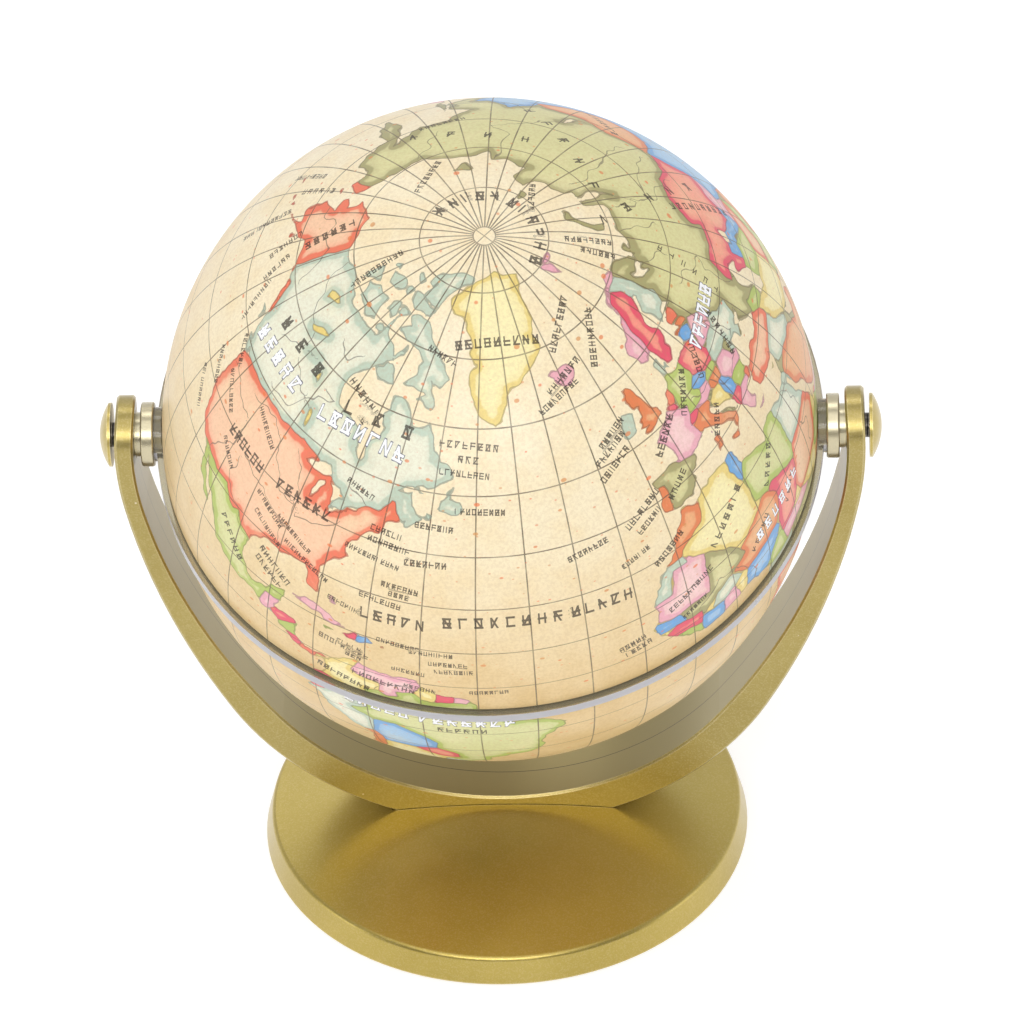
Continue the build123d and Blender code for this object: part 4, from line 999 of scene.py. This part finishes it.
def plain_material(name, colour, rough, metallic=0.0, scale=400.0, thread=0.0):
    """Moulded plastic, rubber or steel with a fine uneven surface, and a painted highlight on the crests of
    a thread if it has one.
    """
    mat = bpy.data.materials.new(name)
    mat.use_nodes = True
    t = Tree(mat.node_tree)
    shader = mat.node_tree.nodes["Principled BSDF"]
    spot = t.add("ShaderNodeTexCoord").outputs["Object"]
    grain = t.noise(spot, scale, 4.0, 0.6)
    dark = tuple(c * 0.8 for c in colour)
    tone = t.mix(grain, display(dark), display(colour))
    # painted highlight: light rings on the thread crests
    if thread:
        along = t.math("DIVIDE", t.add("ShaderNodeSeparateXYZ", spot).outputs[0], thread * MM)
        crest_highlight = t.math("GREATER_THAN", t.math("FRACT", along), 0.72)
        tone = t.mix(crest_highlight, tone, display(THREAD_CREST_HIGHLIGHT))
    t.tree.links.new(tone, shader.inputs["Base Color"])
    t.tree.links.new(t.math("ADD", rough, t.math("MULTIPLY", grain, 0.1)), shader.inputs["Roughness"])
    shader.inputs["Metallic"].default_value = metallic
    t.bump(shader, 0.15, 0.05, grain)
    return mat


def clear_material():
    """Polished clear acrylic with a faint moulding swirl and a matt sawn edge, drawn paler as a painted
    highlight.
    """
    mat = bpy.data.materials.new("clear_acrylic")
    mat.use_nodes = True
    t = Tree(mat.node_tree)
    shader = mat.node_tree.nodes["Principled BSDF"]
    spot = t.add("ShaderNodeTexCoord").outputs["Object"]
    swirl = t.noise(spot, 220.0, 3.0, 0.5)
    axes = t.add("ShaderNodeSeparateXYZ", ball_axes(t, spot))
    reach = from_axis(t, axes.outputs[0], axes.outputs[1])
    at_edge = t.step(reach, (RING_R - 0.12) * MM, (RING_R - 0.04) * MM)
    in_ring = t.math("LESS_THAN", t.math("ABSOLUTE", axes.outputs[2]), RING_HALF_T * MM)
    sawn_edge_and_highlight = t.math("MULTIPLY", at_edge, in_ring)
    # the paler colour of the sawn edge is a painted highlight
    t.tree.links.new(t.mix(sawn_edge_and_highlight, display(CLEAR_BODY), display(SAWN_EDGE_HIGHLIGHT)), shader.inputs["Base Color"])
    clearness = t.math("SUBTRACT", 0.75, t.math("MULTIPLY", sawn_edge_and_highlight, 0.35))
    t.tree.links.new(clearness, shader.inputs["Transmission Weight"])
    shader.inputs["IOR"].default_value = 1.49
    rough = t.math("ADD", 0.05, t.math("MULTIPLY", swirl, 0.08))
    t.tree.links.new(t.math("ADD", rough, t.math("MULTIPLY", sawn_edge_and_highlight, 0.2)), shader.inputs["Roughness"])
    return mat


# ---- ball -----------------------------------------------------------------------
# A fine sphere is cut in half, its other half is its mirror image, and the map is stored on their points.
deselect()
bpy.ops.mesh.primitive_ico_sphere_add(subdivisions=8, radius=BALL_R * MM)
north = bpy.context.object
north.name = "north_map"
bpy.ops.object.mode_set(mode="EDIT")
bpy.ops.mesh.select_all(action="SELECT")
bpy.ops.mesh.bisect(plane_co=(0, 0, 0), plane_no=(0, 0, 1), use_fill=True, clear_inner=True)
bpy.ops.object.mode_set(mode="OBJECT")
deselect()
north.select_set(True)
bpy.context.view_layer.objects.active = north
bpy.ops.object.duplicate()
south = bpy.context.object
south.name = "south_map"
south.scale.z = -1
bpy.ops.object.transform_apply(location=False, rotation=False, scale=True)
bpy.ops.object.mode_set(mode="EDIT")
bpy.ops.mesh.select_all(action="SELECT")
bpy.ops.mesh.normals_make_consistent(inside=False)
bpy.ops.object.mode_set(mode="OBJECT")
map_material = print_material()
for half, node, side_of_ring in ((north, "north_hemisphere", 1), (south, "south_hemisphere", -1)):
    spots = np.empty(len(half.data.vertices) * 3, np.float32)
    half.data.vertices.foreach_get("co", spots)
    spots = spots.reshape(-1, 3).astype(np.float64)
    spots /= np.linalg.norm(spots, axis=1, keepdims=True)
    spots = spots.astype(np.float32)
    for tint, field in tint_fields(spots).items():
        store(half.data, "tint_" + tint, field)
    side, near = river_field(spots)
    store(half.data, "river_side", side)
    store(half.data, "river_near", near)
    for label, words in (("word", WORDS), ("big", BIG_WORDS)):
        for name, values in zip(("along", "up", "inside", "width"), word_fields(spots, words)):
            store(half.data, f"{label}_{name}", values)
    colat = np.degrees(np.arccos(np.clip(slipped(spots, -1)[:, 2], -1, 1)))
    store(half.data, "latitude", 90 - np.interp(colat, PRINT_COLAT, TRUE_COLAT))
    deselect()
    half.select_set(True)
    bpy.context.view_layer.objects.active = half
    bpy.ops.object.shade_smooth_by_angle(angle=math.radians(30))
    half.rotation_euler = (LEAN, 0, 0)
    # the ring lies between the two halves
    apart = side_of_ring * RIM_Z * MM
    half.location = (0, -apart * math.sin(LEAN), PIVOT_Z * MM + apart * math.cos(LEAN))
    bpy.ops.object.transform_apply(location=True, rotation=True, scale=True)
    half.data.materials.clear()
    half.data.materials.append(map_material)
    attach(half, "ball")
    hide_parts(node)

# ---- finishes of the CAD nodes ----------------------------------------------------
gold = metal_material("gold_paint", (178, 156, 74), (190, 168, 86), 0.32, 0.2)
arm_gold = metal_material("gold_paint_arm", (160, 142, 76), (172, 154, 88), 0.33, 0.22, inner_shade_and_seam=True)
champagne = metal_material("champagne_satin", (192, 182, 150), (204, 194, 162), 0.27, 0.2)
black = plain_material("black_shank", (26, 24, 22), 0.25, 0.6, thread=0.4)
steel = plain_material("steel", (150, 148, 144), 0.3, 1.0)
iron = plain_material("iron", (70, 68, 66), 0.6, 0.8)
inner = plain_material("inner_plastic", (226, 220, 204), 0.45)
rim_plastic = plain_material("rim_plastic", RIM_PLASTIC, 0.5)
cover = plain_material("cover_plastic", (34, 34, 34), 0.5)
felt = plain_material("felt", (26, 26, 27), 0.95, 0.0, 1800.0)
clear = clear_material()
FINISH = {
    "base_shell": gold, "left_cap": gold, "right_cap": gold,
    "arm_front_half": arm_gold, "arm_rear_half": arm_gold,
    "left_flange": champagne, "right_flange": champagne, "left_spacer": champagne, "right_spacer": champagne,
    "left_pivot_screw": black, "right_pivot_screw": black,
    "left_friction_washer": champagne, "right_friction_washer": champagne,
    "left_pivot_bush": inner, "right_pivot_bush": inner, "coupling_sleeve": rim_plastic,
    "arm_dowels": steel, "arm_foot_screws": steel, "base_screws": steel, "base_ballast": iron,
    "base_bottom_cover": cover, "felt_pad": felt, "equator_ring": clear,
}
for name, finish in FINISH.items():
    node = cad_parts[name]
    for place_in_list in range(len(node.material_slots)):
        node.material_slots[place_in_list].material = finish

# ---- floor, light and camera -------------------------------------------------------
deselect()
bpy.ops.mesh.primitive_plane_add(size=8, location=(0, 0, -0.05 * MM))
floor = bpy.context.object
floor.name = "floor"
pale = bpy.data.materials.new("pale_floor")
pale.use_nodes = True
pale_inputs = pale.node_tree.nodes["Principled BSDF"].inputs
pale_inputs["Base Color"].default_value = (0.5, 0.5, 0.5, 1)
pale_inputs["Roughness"].default_value = 0.9
pale_inputs["Emission Color"].default_value = (1, 1, 1, 1)
pale_inputs["Emission Strength"].default_value = 0.66
pale_inputs["Specular IOR Level"].default_value = 0.1
floor.data.materials.append(pale)


def softbox(name, spot, aim, size, power):
    """Flat white lamp of the given width and height in metres, turned to face its aim."""
    bpy.ops.object.light_add(type="AREA", location=spot)
    lamp = bpy.context.object
    lamp.name = name
    lamp.data.shape = "RECTANGLE"
    lamp.data.size, lamp.data.size_y = size
    lamp.data.energy = power
    way = [aim[i] - spot[i] for i in range(3)]
    flat = math.hypot(way[0], way[1])
    lamp.rotation_euler = (math.atan2(flat, -way[2]), 0, math.atan2(-way[0], way[1]))


BALL_SPOT = (0, 0, PIVOT_Z * MM)
softbox("front_top", (-0.15, -0.6, 1.35), BALL_SPOT, (1.5, 1.2), 7.5)
softbox("front", (-0.1, -1.2, 0.95), BALL_SPOT, (1.1, 0.55), 8)
softbox("right_side", (1.2, -0.2, 0.3), BALL_SPOT, (0.5, 0.8), 1.9)
softbox("back_left", (-0.5, 1.2, 0.95), (0, 0, 0), (0.6, 0.5), 0.7)
softbox("back_top", (0, 0.55, 1.3), (0, 0, 0), (0.5, 0.4), 1.6)
softbox("low_left", (-1.25, -0.35, 0.3), BALL_SPOT, (0.5, 0.5), 1.6)

world = bpy.data.worlds.new("studio")
bpy.context.scene.world = world
world.use_nodes = True
w = Tree(world.node_tree)
behind = w.add("ShaderNodeSeparateXYZ", w.add("ShaderNodeTexCoord").outputs["Generated"]).outputs[1]
VIEWER_SIDE_GREY = (0.18, 0.18, 0.18, 1)
FAR_SIDE_GREY = (0.78, 0.78, 0.78, 1)
glow = w.mix(w.step(behind, -0.6, 0.9), VIEWER_SIDE_GREY, FAR_SIDE_GREY)
w.tree.links.new(glow, world.node_tree.nodes["Background"].inputs["Color"])
world.node_tree.nodes["Background"].inputs["Strength"].default_value = 1.0

CAMERA_SPOT = (0.047689, -0.997955, 0.890139)
CAMERA_TURN = (50.51121, 1.81807, 1.06815)
bpy.ops.object.camera_add(location=CAMERA_SPOT, rotation=[math.radians(angle) for angle in CAMERA_TURN])
camera = bpy.context.object
camera.data.sensor_width = 36.0
camera.data.lens = 278.744
camera.data.clip_end = 20
bpy.context.scene.camera = camera
bpy.context.scene.view_settings.view_transform = "Standard"
bpy.context.scene.view_settings.look = "None"
